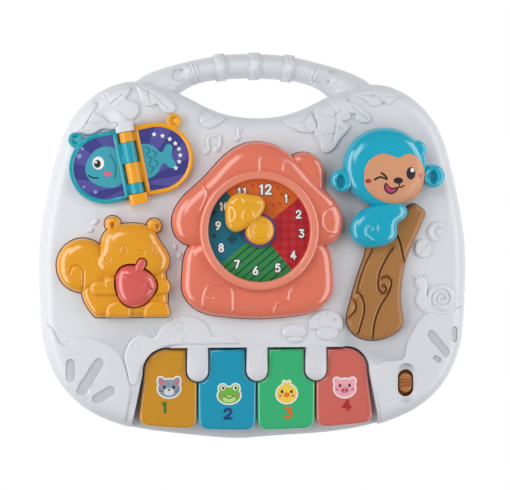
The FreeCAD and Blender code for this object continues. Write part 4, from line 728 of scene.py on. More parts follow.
# Moulded ABS with less gloss: face plate, bark, hub ring and book leaves.
PEACH = Finish("peach_plate", "#DC9C74", 0.4, 0.15, slot="face_peach")
BARK = Finish("bark_brown", "#AC7640", 0.38, 0.2, slot="trunk_brown")
YELLOW = Finish("pointer_yellow", "#F0AE1E", 0.2, 1.0, slot="pointer_yellow")
PURPLE = Finish("ring_purple", "#5E4C93", 0.35, 0.2, slot="ring_purple")
LEAF_TEAL = Finish("leaf_teal", "#12A2B4", 0.28, 0.3, slot="leaf_teal")
LEAF_AMBER = Finish("leaf_amber", "#F2A51C", 0.28, 0.3, slot="leaf_amber")
# Gloss ABS of the keys, and the satin slide knob.
KEY_AMBER = Finish("key_amber", "#D0921F", 0.2, 1.0, slot="key_amber")
KEY_BLUE = Finish("key_blue", "#0C9ABB", 0.2, 1.0, slot="key_blue")
KEY_GREEN = Finish("key_green", "#36B878", 0.2, 1.0, slot="key_green")
KEY_CORAL = Finish("key_coral", "#D6695E", 0.2, 1.0, slot="key_coral")
KNOB = Finish("knob_brown", "#B4713A", 0.45, 0.05, slot="knob_brown")
# Bare and plated metal: drawn steel, zinc-plated screws and nickel contacts.
STEEL = Finish("drawn_steel", "#B8B9BC", 0.3, 0.0, 1.0, 0.01, 0.4, slot="steel")
SCREW_STEEL = Finish("plated_steel", "#9FA1A5", 0.35, 0.0, 1.0, 0.01, 0.4, slot="screw_steel")
SWITCH_METAL = Finish("switch_metal", "#B0B2B4", 0.4, 0.0, 1.0, 0.01, 0.4, slot="switch_metal")
CONTACT = Finish("contact_nickel", "#C2C2BE", 0.25, 0.0, 1.0, 0.01, 0.4, slot="contact_steel")
# Dull moulded clip, pivot and speaker, silicone, solder mask, cell sleeve and rubber.
CLIP = Finish("clip_white", "#D8D8D6", 0.5, 0.0, slot="clip_white")
PIVOT = Finish("pivot_white", "#D8D8D6", 0.5, 0.0, slot="pivot_white")
SILICONE = Finish("silicone", "#D2D2CE", 0.6, 0.0, slot="silicone")
SOLDER_MASK = Finish("solder_mask", "#1E5C3A", 0.4, 0.2, slot="board_green")
SPEAKER = Finish("speaker_black", "#161616", 0.7, 0.0, grain=0.05, slot="speaker_black")
CELL = Finish("cell_sleeve", "#3A5F98", 0.35, 0.2, slot="battery")
RUBBER = Finish("foot_rubber", "#5B5E63", 0.75, 0.0, grain=0.06, grain_size=0.5, mottle=0.06, slot="foot_rubber")
# Printed film of the book. Painted shade: a grey for the floor of the deck's slots, darker than the white, and a dark
# brown strip for the shadowed gaps round the foot of the toys.
FILM = Finish("picture_film", "#3A3A86", 0.42, 0.1, slot="picture")
# Painted shade: the floor of the deck's slots in a darker grey than the white.
SLOT_FLOOR_SHADE = Finish("slot_floor_shade", "#C6C8CC", 0.45, 0.05, slot="shell_white")
# Painted shade: the dark strip round the foot of the toys.
GAP_SHADE = Finish("seam_shade", "#4A332C", 0.8, 0.0, grain=0.0, slot="shell_white")
# Painted highlight: the bezel ring in a lighter copy of the house's coral. Painted shade: darker copies of the
# moulded colours for the floors of hollows and grooves.
CORAL_BEZEL_HIGHLIGHT = Finish("coral_bezel_highlight", "#F08E74", 0.2, 1.0, slot="house_coral")
# Painted shade: darker amber, turquoise and bark for the floors of hollows and grooves.
AMBER_HOLLOW_SHADE = Finish("amber_hollow_shade", "#C98212", 0.3, 0.3, slot="squirrel_amber")
TURQUOISE_HOLLOW_SHADE = Finish("turquoise_hollow_shade", "#0592AE", 0.26, 0.4, slot="monkey_blue")
BARK_GROOVE_SHADE = Finish("bark_groove_shade", "#82542A", 0.45, 0.1, slot="trunk_brown")
# Matt inks and films of the dial.
PRINT_WHITE = Finish("ink_white", "#F2F1EE", 0.5, 0.05, grain=0.0, slot="dial_print")
PRINT_DARK = Finish("ink_dark", "#2A1E26", 0.5, 0.05, grain=0.0, slot="dial_print")
DIAL_ORANGE = Finish("dial_orange", "#D9661C", 0.45, 0.1, slot="dial_print")
DIAL_DOT = Finish("dial_orange_dot", "#C4481A", 0.45, 0.1, slot="dial_print")
DIAL_TEAL = Finish("dial_teal", "#0A6A80", 0.45, 0.1, slot="dial_print")
DIAL_TEAL_DARK = Finish("dial_teal_dark", "#0B4658", 0.45, 0.1, slot="dial_print")
DIAL_GREEN = Finish("dial_green", "#2E8548", 0.45, 0.1, slot="dial_print")
DIAL_GREEN_DARK = Finish("dial_green_dark", "#124A22", 0.45, 0.1, slot="dial_print")
DIAL_RED = Finish("dial_red", "#B3141F", 0.45, 0.1, slot="dial_print")
DIAL_RED_LIGHT = Finish("dial_red_light", "#BE2632", 0.45, 0.1, slot="dial_print")
# Matt inks of the monkey's face and of the book.
TONGUE_PINK = Finish("ink_tongue", "#C23A73", 0.5, 0.05, grain=0.0, slot="face_peach")
CHEEK_RED = Finish("ink_cheek_red", "#A63A3E", 0.5, 0.05, grain=0.0, slot="face_peach")
CHEEK_PINK = Finish("ink_cheek_pink", "#DB6A80", 0.5, 0.05, grain=0.0, slot="face_peach")
FILM_LIGHT = Finish("film_ray", "#54509C", 0.42, 0.1, slot="picture")
FILM_PALE = Finish("film_pale", "#8F93D6", 0.42, 0.1, slot="picture")
FISH_TEAL = Finish("fish_teal", "#3DA3B5", 0.42, 0.1, slot="picture")
FISH_DEEP = Finish("fish_deep", "#22768C", 0.42, 0.1, slot="picture")
# Matt inks of the numbers and animal heads on the keys.
INK_GREEN = Finish("ink_green", "#3B7A2E", 0.5, 0.05, grain=0.0, slot="key_amber")
INK_NAVY = Finish("ink_navy", "#1C3F78", 0.5, 0.05, grain=0.0, slot="key_blue")
INK_ORANGE = Finish("ink_orange", "#E0701E", 0.5, 0.05, grain=0.0, slot="key_green")
INK_RED = Finish("ink_red", "#B3202E", 0.5, 0.05, grain=0.0, slot="key_coral")
CAT_GREY = Finish("ink_cat", "#8D97A6", 0.5, 0.05, grain=0.0, slot="key_amber")
CAT_PALE = Finish("ink_cat_pale", "#D5D9DF", 0.5, 0.05, grain=0.0, slot="key_amber")
FROG_GREEN = Finish("ink_frog", "#6FB83E", 0.5, 0.05, grain=0.0, slot="key_blue")
FROG_PALE = Finish("ink_frog_pale", "#BFE08A", 0.5, 0.05, grain=0.0, slot="key_blue")
CHICK_YELLOW = Finish("ink_chick", "#F6D04A", 0.5, 0.05, grain=0.0, slot="key_green")
CHICK_BEAK = Finish("ink_beak", "#EE7A22", 0.5, 0.05, grain=0.0, slot="key_green")
PIG_PINK = Finish("ink_pig", "#F3A9B4", 0.5, 0.05, grain=0.0, slot="key_coral")
PIG_SNOUT = Finish("ink_snout", "#DD7F92", 0.5, 0.05, grain=0.0, slot="key_coral")


# ---------------------------------------------------------------- pieces


def add_piece(name: str, solid: Solid, finishes: Sequence, body: Body, crease: float = 38.0,
              replaces: Sequence = ()) -> bpy.types.Object:
    """Puts a finished solid in the scene, riding on a body.

    Args:
        name: piece name.
        solid: its faces.
        finishes: one finish for each material slot.
        body: rigid body it moves with.
        crease: edges sharper than this angle in degrees stay crisp.
        replaces: nodes that it stands for.

    Returns:
        The new object.
    """
    mesh = solid.mesh(name)
    for finish in finishes:
        mesh.materials.append(finish.material())
    mesh.shade_smooth()
    mesh.set_sharp_from_angle(angle=math.radians(crease))
    piece = bpy.data.objects.new(name, mesh)
    bpy.context.scene.collection.objects.link(piece)
    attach(piece, body.value)
    if replaces:
        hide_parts(*replaces)
    log.info("%s: %d faces on %s", name, len(mesh.polygons), body.value)
    return piece


def dress(frame: dict, node: str, finish: Finish, body: Body, crease: float = 32.0) -> bpy.types.Object:
    """A smooth-shaded copy of a node with its corners merged, in a finish of its own."""
    mesh = frame["nodes"][node].data.copy()
    mesh.name = node + "_skin"
    merge_corners(mesh, 0.002)
    mesh.materials.clear()
    mesh.materials.append(finish.material())
    mesh.shade_smooth()
    mesh.set_sharp_from_angle(angle=math.radians(crease))
    piece = bpy.data.objects.new(node + "_skin", mesh)
    bpy.context.scene.collection.objects.link(piece)
    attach(piece, body.value)
    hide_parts(node)
    if node in PRESSED:
        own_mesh(piece)
    log.info("%s: dressed", node)
    return piece


PRESSED = {
    "key_dome_1": "key_left_press",
    "key_dome_2": "key_mid_left_press",
    "key_dome_3": "key_mid_right_press",
    "key_dome_4": "key_right_press",
    "acorn_dome": "acorn_press",
}

DRESS = {
    "top_shell": (WHITE, Body.BOARD),
    "bottom_shell": (UNDER_WHITE, Body.BOARD),
    "handle_plugs": (PLUG_WHITE, Body.BOARD),
    "handle_screws": (SCREW_STEEL, Body.BOARD),
    "clock_hub_ring": (PURPLE, Body.POINTER),
    "pointer_clip": (CLIP, Body.POINTER),
    "monkey_pivot": (PIVOT, Body.MONKEY),
    "acorn_dome": (SILICONE, Body.BOARD),
    "button_board": (SOLDER_MASK, Body.BOARD),
    "book_left_leaf": (LEAF_TEAL, Body.LEFT_LEAF),
    "book_right_leaf": (LEAF_AMBER, Body.RIGHT_LEAF),
    "hinge_pin": (STEEL, Body.BOARD),
    "hinge_bracket": (LEAF_AMBER, Body.BOARD),
    "key_axle": (STEEL, Body.BOARD),
    "circuit_board": (SOLDER_MASK, Body.BOARD),
    "switch_knob": (KNOB, Body.SWITCH),
    "switch_body": (SWITCH_METAL, Body.BOARD),
    "speaker": (SPEAKER, Body.BOARD),
    "batteries": (CELL, Body.BOARD),
    "battery_contacts": (CONTACT, Body.BOARD),
    "battery_door": (UNDER_WHITE, Body.BOARD),
    "door_screw": (SCREW_STEEL, Body.BOARD),
    "shell_screws": (SCREW_STEEL, Body.BOARD),
    "key_1": (KEY_AMBER, Body.KEY_1),
    "key_2": (KEY_BLUE, Body.KEY_2),
    "key_3": (KEY_GREEN, Body.KEY_3),
    "key_4": (KEY_CORAL, Body.KEY_4),
    "key_dome_1": (SILICONE, Body.BOARD),
    "key_dome_2": (SILICONE, Body.BOARD),
    "key_dome_3": (SILICONE, Body.BOARD),
    "key_dome_4": (SILICONE, Body.BOARD),
    "leg_1": (LEG_WHITE, Body.BOARD),
    "leg_2": (LEG_WHITE, Body.BOARD),
    "leg_3": (LEG_WHITE, Body.BOARD),
    "leg_4": (LEG_WHITE, Body.BOARD),
    "foot_1": (RUBBER, Body.BOARD),
    "foot_2": (RUBBER, Body.BOARD),
    "foot_3": (RUBBER, Body.BOARD),
    "foot_4": (RUBBER, Body.BOARD),
}


# ---------------------------------------------------------------- prints


class Skin:
    """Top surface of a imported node, for pieces and prints that lie on it.

    Args:
        frame: the loaded frame.
        node: node name.
        otherwise: level used where the node has nothing.
    """

    def __init__(self, frame: dict, node: str, otherwise: float = DECK_Z) -> None:
        """Prepares the node's faces for casts from above."""
        mesh = frame["nodes"][node].data
        self.tree = BVHTree.FromPolygons([v.co for v in mesh.vertices], [p.vertices for p in mesh.polygons])
        self.otherwise = otherwise

    def __call__(self, points: np.ndarray) -> np.ndarray:
        """Heights of the surface straight below some points."""
        found = [self.tree.ray_cast(Vector((x * MM, (y + CENTRING) * MM, CAST_HEIGHT)), Vector((0.0, 0.0, -1.0)))[0]
                 for x, y in points]
        return np.array([hit.z / MM if hit else self.otherwise for hit in found])


DIGITS = {
    "0": [[(0.0, 0.5), (-0.22, 0.36), (-0.28, 0.0), (-0.22, -0.36), (0.0, -0.5), (0.22, -0.36), (0.28, 0.0),
           (0.22, 0.36), (0.0, 0.5)]],
    "1": [[(-0.13, 0.34), (0.05, 0.48)], [(0.05, 0.48), (0.05, -0.5)]],
    "2": [[(-0.27, 0.26), (-0.16, 0.45), (0.08, 0.5), (0.26, 0.34), (0.2, 0.06), (-0.04, -0.22), (-0.28, -0.47)],
          [(-0.28, -0.47), (0.29, -0.47)]],
    "3": [[(-0.26, 0.47), (0.24, 0.47)], [(0.24, 0.47), (-0.04, 0.1)],
          [(-0.04, 0.1), (0.18, 0.02), (0.27, -0.2), (0.16, -0.42), (-0.06, -0.5), (-0.27, -0.36)]],
    "4": [[(0.1, 0.5), (-0.3, -0.2)], [(-0.3, -0.2), (0.32, -0.2)], [(0.13, 0.15), (0.13, -0.5)]],
    "5": [[(0.23, 0.47), (-0.19, 0.47)], [(-0.19, 0.47), (-0.24, 0.06)],
          [(-0.24, 0.06), (0.02, 0.13), (0.23, 0.0), (0.27, -0.2), (0.15, -0.43), (-0.08, -0.5), (-0.27, -0.38)]],
    "6": [[(0.14, 0.5), (-0.12, 0.16), (-0.26, -0.12), (-0.24, -0.36), (0.0, -0.5), (0.24, -0.36), (0.25, -0.1),
           (0.04, 0.04), (-0.2, -0.05)]],
    "7": [[(-0.28, 0.47), (0.28, 0.47)], [(0.28, 0.47), (-0.08, -0.5)]],
    "8": [[(0.0, 0.03), (-0.19, 0.13), (-0.22, 0.31), (-0.1, 0.47), (0.1, 0.47), (0.22, 0.31), (0.19, 0.13),
           (0.0, 0.03), (-0.23, -0.1), (-0.27, -0.3), (-0.12, -0.48), (0.12, -0.48), (0.27, -0.3), (0.23, -0.1),
           (0.0, 0.03)]],
    "9": [[(-0.14, -0.5), (0.12, -0.16), (0.26, 0.12), (0.24, 0.36), (0.0, 0.5), (-0.24, 0.36), (-0.25, 0.1),
           (-0.04, -0.04), (0.2, 0.05)]],
}


def print_number(solid: Solid, text: str, centre: Pair, height: float, surface: Surface, lift: float,
                 weight: float = 0.2, halo: float = 0.0, slots: tuple = (0, 0), stretch: float = 1.0) -> None:
    """Prints a number with round strokes, over a darker halo where one is asked for.

    Args:
        solid: solid that takes the faces.
        text: the digits.
        centre: middle of the number.
        height: height of the digits.
        surface, lift: where the print lies.
        weight: stroke width as a share of the height.
        halo: width of the halo around the strokes.
        slots: material slots of the strokes and of the halo.
        stretch: widening of the digits.
    """
    pitch = height * (0.6 if "1" in text else 0.78)
    for place, sign in enumerate(text):
        shift = np.asarray(centre, float) + ((place - (len(text) - 1) / 2) * pitch, 0.0)
        paths = [smooth_path(np.asarray(stroke) * (stretch, 1.0) * height * (1 - weight) + shift,
                             6 if len(stroke) == 2 else 44)
                 for stroke in DIGITS[sign]]
        if halo:
            solid.strokes(paths, height * weight + 2 * halo, surface, lift + 0.015 * place, slots[1])
        solid.strokes(paths, height * weight, surface, lift + 0.1, slots[0])


def painted(frame: dict, node: str, finishes: Sequence, body: Body, cuts: Sequence, sector: Callable,
            tone: Callable) -> bpy.types.Object:
    """A copy of a flat printed node, cut along straight lines and coloured face by face.

    Args:
        frame: the loaded frame.
        node: node name.
        finishes: finish of each colour.
        body: rigid body it moves with.
        cuts: (x, y, heading in degrees, sector or None) of each line, in millimetres.
        sector: sector numbers of faces from their middles.
        tone: colour numbers of faces from their middles.

    Returns:
        The new object.
    """
    mesh = frame["nodes"][node].data.copy()
    mesh.name = node + "_print"
    work = bmesh.new()
    work.from_mesh(mesh)
    bmesh.ops.remove_doubles(work, verts=work.verts, dist=0.002 * MM)

    def middles() -> np.ndarray:
        """Middles of the faces in the plane, in millimetres."""
        return np.array([tuple(f.calc_center_median()) for f in work.faces])[:, :2] / MM - (0.0, CENTRING)

    for x, y, heading, part in cuts:
        turn = math.radians(heading)
        faces = work.faces[:]
        if part is not None:
            faces = [f for f, own in zip(faces, sector(middles())) if own == part]
        edges = {edge for f in faces for edge in f.edges}
        corners_of = {vert for f in faces for vert in f.verts}
        bmesh.ops.bisect_plane(work, geom=list(corners_of) + list(edges) + faces, dist=1e-7,
                               plane_co=(x * MM, (y + CENTRING) * MM, 0.0),
                               plane_no=(-math.sin(turn), math.cos(turn), 0.0))
    tones = tone(middles())
    mesh.materials.clear()
    work.to_mesh(mesh)
    work.free()
    for finish in finishes:
        mesh.materials.append(finish.material())
    mesh.polygons.foreach_set("material_index", np.asarray(tones, np.int32))
    mesh.shade_flat()
    piece = bpy.data.objects.new(node + "_print", mesh)
    bpy.context.scene.collection.objects.link(piece)
    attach(piece, body.value)
    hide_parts(node)
    log.info("%s: painted, %d faces", node, len(mesh.polygons))
    return piece


# ---------------------------------------------------------------- toys on the deck


def mirrored(right_half: Points) -> np.ndarray:
    """A closed outline from its right half, listed front to back."""
    half = np.asarray(right_half, float)
    left = half[half[:, 0] > 0][::-1] * (-1.0, 1.0)
    return np.vstack([half, left])


def grooves(paths: Sequence, height: float, width: float, depth: float, tone: int = 0, rim: float = 0.0) -> list:
    """Marks along drawn paths at a height above the deck; a negative depth makes beads."""
    return [Mark(smooth_path(PLAN.at(path, height)), width, -depth, False, tone, rim) for path in paths]


@dataclass
class HouseClock:
    """House-shaped clock front with a bezel, its printed dial and the number ring.

    Args:
        walls_height, roof_height, chimney_height: heights above the deck.
        centre: middle of the dial.
        bezel_outer, bezel_inner: radii of the bezel.
        dial_level: level of the dial's print.
    """

    walls_height: float = 11.0
    roof_height: float = 13.5
    chimney_height: float = 10.0
    centre: tuple = (0.0, 11.0)
    bezel_outer: float = 45.6
    bezel_inner: float = 39.0
    bezel_top: float = 263.0
    dial_level: float = 257.6

    WALLS = ((0.0, -56.3), (26.0, -54.6), (48.0, -48.5), (57.5, -36.5), (58.0, -22.0), (53.5, -2.0), (40.0, 6.0),
             (20.0, 8.0))
    ROOF = ((0.0, -8.0), (30.0, -4.0), (50.5, -1.0), (61.5, 5.0), (65.8, 19.0), (57.5, 36.5), (42.0, 51.0),
            (25.0, 69.0), (12.0, 77.0), (0.0, 79.0))
    CHIMNEY = ((27.5, 69.0), (38.0, 71.0), (48.5, 64.0), (51.6, 50.0), (48.0, 38.0), (36.0, 48.0))
    WALL_MARKS = (
        ((202.6, 308.2), (203.2, 296.1), (207.4, 287.7), (217.1, 285.2), (228.0, 286.4), (232.2, 292.5),
         (232.8, 312)),
        ((288.6, 301.0), (289.8, 292.5), (297.0, 286.4), (305.5, 285.2), (314.0, 288.9)),
        ((274.0, 314.3), (275.2, 307.0), (280.1, 303.4), (288.6, 301.0)),
    )
    ROOF_MARKS = (
        ((259.5, 171.0), (260.0, 159.0), (266.0, 155.5), (270.4, 154.4), (283.0, 159.0), (283.0, 171.0)),
        ((202.6, 183.5), (206.2, 195.6), (200.1, 211.3)),
        ((335.8, 205.3), (326.1, 212.5), (323.7, 222.2), (327.3, 230.7), (335.8, 233.7)),
    )
    NUMBERS = {
        "12": (264.9, 190.0), "1": (286.3, 198.8), "2": (299.0, 214.8), "3": (302.0, 233.9), "4": (293.7, 255.7),
        "5": (278.0, 268.4), "6": (255.5, 271.1), "7": (236.8, 264.7), "8": (221.0, 248.3), "9": (218.0, 226.2),
        "10": (223.7, 207.0), "11": (241.8, 192.4),
    }
    EDGES = (39.5, 130.5, 221.0, 310.0)

    def build(self, frame: dict) -> None:
        """Makes the cover and the dial."""
        self.cover()
        self.dial(frame)

    def cover(self) -> None:
        """Walls, roof, chimney and bezel."""
        solid = Solid()
        opening = [ellipse(self.centre, (self.bezel_outer - 0.6,) * 2, count=150)]
        dots = [Pit(tuple(PLAN.at([dot], 11.0)[0]), (1.3, 1.3), -0.5, 0.9)
                for dot in ((207.4, 298.6), (213.5, 298.6))]
        Form(smooth_loop(mirrored(self.WALLS), 260), DECK_Z, self.walls_height, 12.5, 7.5, 0.0,
             grooves(self.WALL_MARKS, 11.0, 2.0, -0.6) + dots, opening, soft=4.0).add_to(solid, seam=2)
        Form(smooth_loop(mirrored(self.ROOF), 300), DECK_Z, self.roof_height, 13.0, 8.5, 0.0,
             grooves(self.ROOF_MARKS, 13.5, 2.0, -0.6), opening, soft=4.0).add_to(solid, seam=2)
        Form(smooth_loop(self.CHIMNEY, 120), DECK_Z, self.chimney_height, 7.0, 6.5, 0.0, soft=3.0).add_to(
            solid, seam=2)
        top, outer, inner = self.bezel_top, self.bezel_outer, self.bezel_inner
        # The bezel ring takes slot 1, a lighter coral: painted highlight.
        solid.revolve([(outer, DECK_Z), (outer, top - 2.4), (outer - 0.3, top - 1.2), (outer - 1.0, top - 0.35),
                       (outer - 1.9, top), (outer - 2.3, top), (outer - 2.6, top - 0.35), (inner + 1.2, top - 0.35),
                       (inner + 0.5, top - 0.8), (inner, top - 1.8), (inner, self.dial_level - 0.3)], self.centre, 1)
        add_piece("house_cover_form", solid, (CORAL, CORAL_BEZEL_HIGHLIGHT, GAP_SHADE), Body.BOARD,
                  replaces=("house_cover",))

    def polar(self, points: np.ndarray) -> tuple:
        """Radius and angle in degrees about the dial's middle."""
        apart = points - self.centre
        return np.hypot(apart[:, 0], apart[:, 1]), np.degrees(np.arctan2(apart[:, 1], apart[:, 0])) % 360

    def sector(self, points: np.ndarray) -> np.ndarray:
        """Sector of each point: 0 orange, 1 teal, 2 green, 3 red."""
        _, angle = self.polar(points)
        return (np.searchsorted(self.EDGES, angle) - 1) % 4

    def tone(self, points: np.ndarray) -> np.ndarray:
        """Colour of each point: the sector's own, or 4 and 5 for the patterns of green and red."""
        sector = self.sector(points)
        across = (points - self.centre) @ np.array([-math.sin(math.radians(40.0)), math.cos(math.radians(40.0))])
        stripe = (across % 5.0) < 1.1
        one, two = self.weave(points)
        check = (np.floor(one) + np.floor(two)) % 2 == 0
        return np.where((sector == 2) & stripe, 4, np.where((sector == 3) & check, 5, sector))

    def weave(self, points: np.ndarray) -> tuple:
        """Cell numbers of the diamond pattern along its two directions."""
        apart = (points - self.centre) / 4.6
        return (apart[:, 0] + apart[:, 1]) / math.sqrt(2), (apart[:, 1] - apart[:, 0]) / math.sqrt(2)

    def dial(self, frame: dict) -> None:
        """The printed disc and its numbers."""
        x, y = self.centre
        cuts = [(x, y, edge, None) for edge in self.EDGES]
        turn = math.radians(40.0)
        for step in range(-9, 9):
            for across in (step * 5.0, step * 5.0 + 1.1):
                cuts.append((x - math.sin(turn) * across, y + math.cos(turn) * across, 40.0, 2))
        for step in range(-10, 11):
            shift = step * 4.6 / math.sqrt(2)
            cuts += [(x + shift, y + shift, 135.0, 3), (x - shift, y + shift, 45.0, 3)]
        painted(frame, "clock_dial", (DIAL_ORANGE, DIAL_TEAL, DIAL_GREEN, DIAL_RED, DIAL_GREEN_DARK,
                                      DIAL_RED_LIGHT), Body.BOARD, cuts, self.sector, self.tone)
        solid = Solid()
        level = self.dial_level
        for turn_, radius in ((48, 34), (60, 22), (66, 35.5), (74, 29), (52, 26), (84, 19), (98, 34.5), (106, 25),
                              (116, 36), (122, 28), (58, 32.5), (90, 26)):
            place = (x + radius * math.cos(math.radians(turn_)), y + radius * math.sin(math.radians(turn_)))
            solid.drape(ellipse(place, (1.35, 1.35), count=24), level, 0.05, 2)
        for drawn, size in (((232.0, 239.6), 4.4), ((214.0, 236.5), 2.2), ((212.5, 213.0), 2.6)):
            place = PLAN.at([drawn], 10.6)[0]
            solid.drape(place + np.array([(size, 0), (0, size), (-size, 0), (0, -size)]), level, 0.05, 3)
        for text, drawn in self.NUMBERS.items():
            print_number(solid, text, PLAN.at([drawn], 10.6)[0], 8.6 if text == "12" else 7.0, level, 0.1, 0.21,
                         0.55, (0, 1))
        add_piece("dial_numbers", solid, (PRINT_WHITE, PRINT_DARK, DIAL_DOT, DIAL_TEAL_DARK), Body.BOARD)


@dataclass
class Pointer:
    """Toadstool-shaped pointer hand on its round hub."""

    hub_level: float = 259.3
    hub_height: float = 7.0
    hand_level: float = 260.5
    hand_height: float = 7.6
    centre: tuple = (0.0, 11.0)

    OUTLINE = ((0.0, 25.8), (3.9, 20.5), (1.9, 13.3), (-4.2, 6.1), (-11.0, 1.6), (-18.0, -1.4), (-24.2, 1.8),
               (-26.4, 10.5), (-25.4, 20.5), (-17.5, 28.0), (-8.0, 27.6))

    def build(self) -> None:
        """Makes the hub and the hand."""
        solid = Solid()
        x, y = self.centre
        spot = PLAN.at([(247.8, 216.2)], 21.0)[0]
        rim = Mark(ellipse(spot, (4.3, 4.3), count=48), 1.9, 0.5, True)
        arc = Mark(smooth_path(PLAN.at([(241.5, 198.5), (244.5, 203.5), (250.5, 206.0), (256.5, 204.5), (260.0, 200)],
                                       21.0)), 1.8, 0.5)
        crescent = Mark(smooth_path(PLAN.at([(229.6, 204.6), (233.0, 209.5), (235.0, 215.0), (233.6, 220.0),
                                             (230.0, 223.5)], 21.0)), 1.8, 0.5)
        Form(smooth_loop(np.asarray(self.OUTLINE) + (0.0, y), 200), self.hand_level, self.hand_height, 4.6, 6.0, 0.3,
             (rim, arc, crescent), step=1.5).add_to(solid)
        ring = Mark(ellipse((x + 0.4, y), (6.4, 6.4), count=60), 2.0, -0.7, True)
        Form(ellipse(self.centre, (11.1, 11.1), count=120), self.hub_level, self.hub_height - 1.0, 3.4, 4.2, 0.5,
             (ring,), step=1.5).add_to(solid)
        add_piece("clock_pointer_form", solid, (YELLOW,), Body.POINTER, replaces=("clock_pointer",))


@dataclass
class Tree:
    """Bark trunk under the monkey."""

    height: float = 6.5

    OUTLINE = ((120.8, 31.6), (123.4, 31.6), (125.0, 30.6), (129.8, 27.0), (130.9, 25.4), (130.4, 22.8), (124.0, 8.0),
               (115.7, -11.1), (112.4, -28.0), (111.9, -47.2),
               (112.6, -62.5), (101.9, -71.0), (89.6, -73.6), (76.6, -70.2), (69.7, -61.0), (71.2, -47.2),
               (74.3, -35.7), (79.5, -19.0), (84.5, -2.0), (86.5, 14.0), (97.0, 21.0), (108.5, 22.5))
    BARK_LINES = (
        ((395.8, 248.0), (389.2, 258.5), (382.5, 272.0), (380.3, 282.4), (381.0, 289.9), (384.7, 294.4),
         (388.4, 291.4), (387.0, 286.2), (384.7, 286.9)),
        ((384.0, 278.7), (389.2, 277.2), (393.6, 280.9), (393.6, 286.9), (389.9, 295.9), (383.3, 306.3),
         (378.8, 316.8), (375.9, 328.8), (375.1, 340.7)),
        ((359.6, 292.9), (364.8, 300.3), (366.2, 312.3), (363.3, 324.3), (359.6, 336.2)),
        ((352.9, 297.4), (357.4, 303.3), (357.4, 310.8), (352.9, 316.8), (350.0, 319.8)),
        ((398.8, 234.6), (402.5, 242.1), (404.7, 251.0), (406.9, 261.5)),
        ((374.4, 251.0), (367.0, 266.0), (361.8, 280.9), (358.8, 292.9)),
    )

    def build(self) -> None:
        """Makes the trunk."""
        solid = Solid()
        # The bark grooves take slot 1: painted shade on their floors.
        Form(smooth_loop(self.OUTLINE, 260), DECK_Z, self.height, 4.2, 5.0, 0.0,
             grooves(self.BARK_LINES, 6.5, 3.6, 1.3, 1, 0.5), step=1.9).add_to(solid, seam=2)
        add_piece("tree_trunk_form", solid, (BARK, BARK_GROOVE_SHADE, GAP_SHADE), Body.BOARD, replaces=("tree_trunk",))


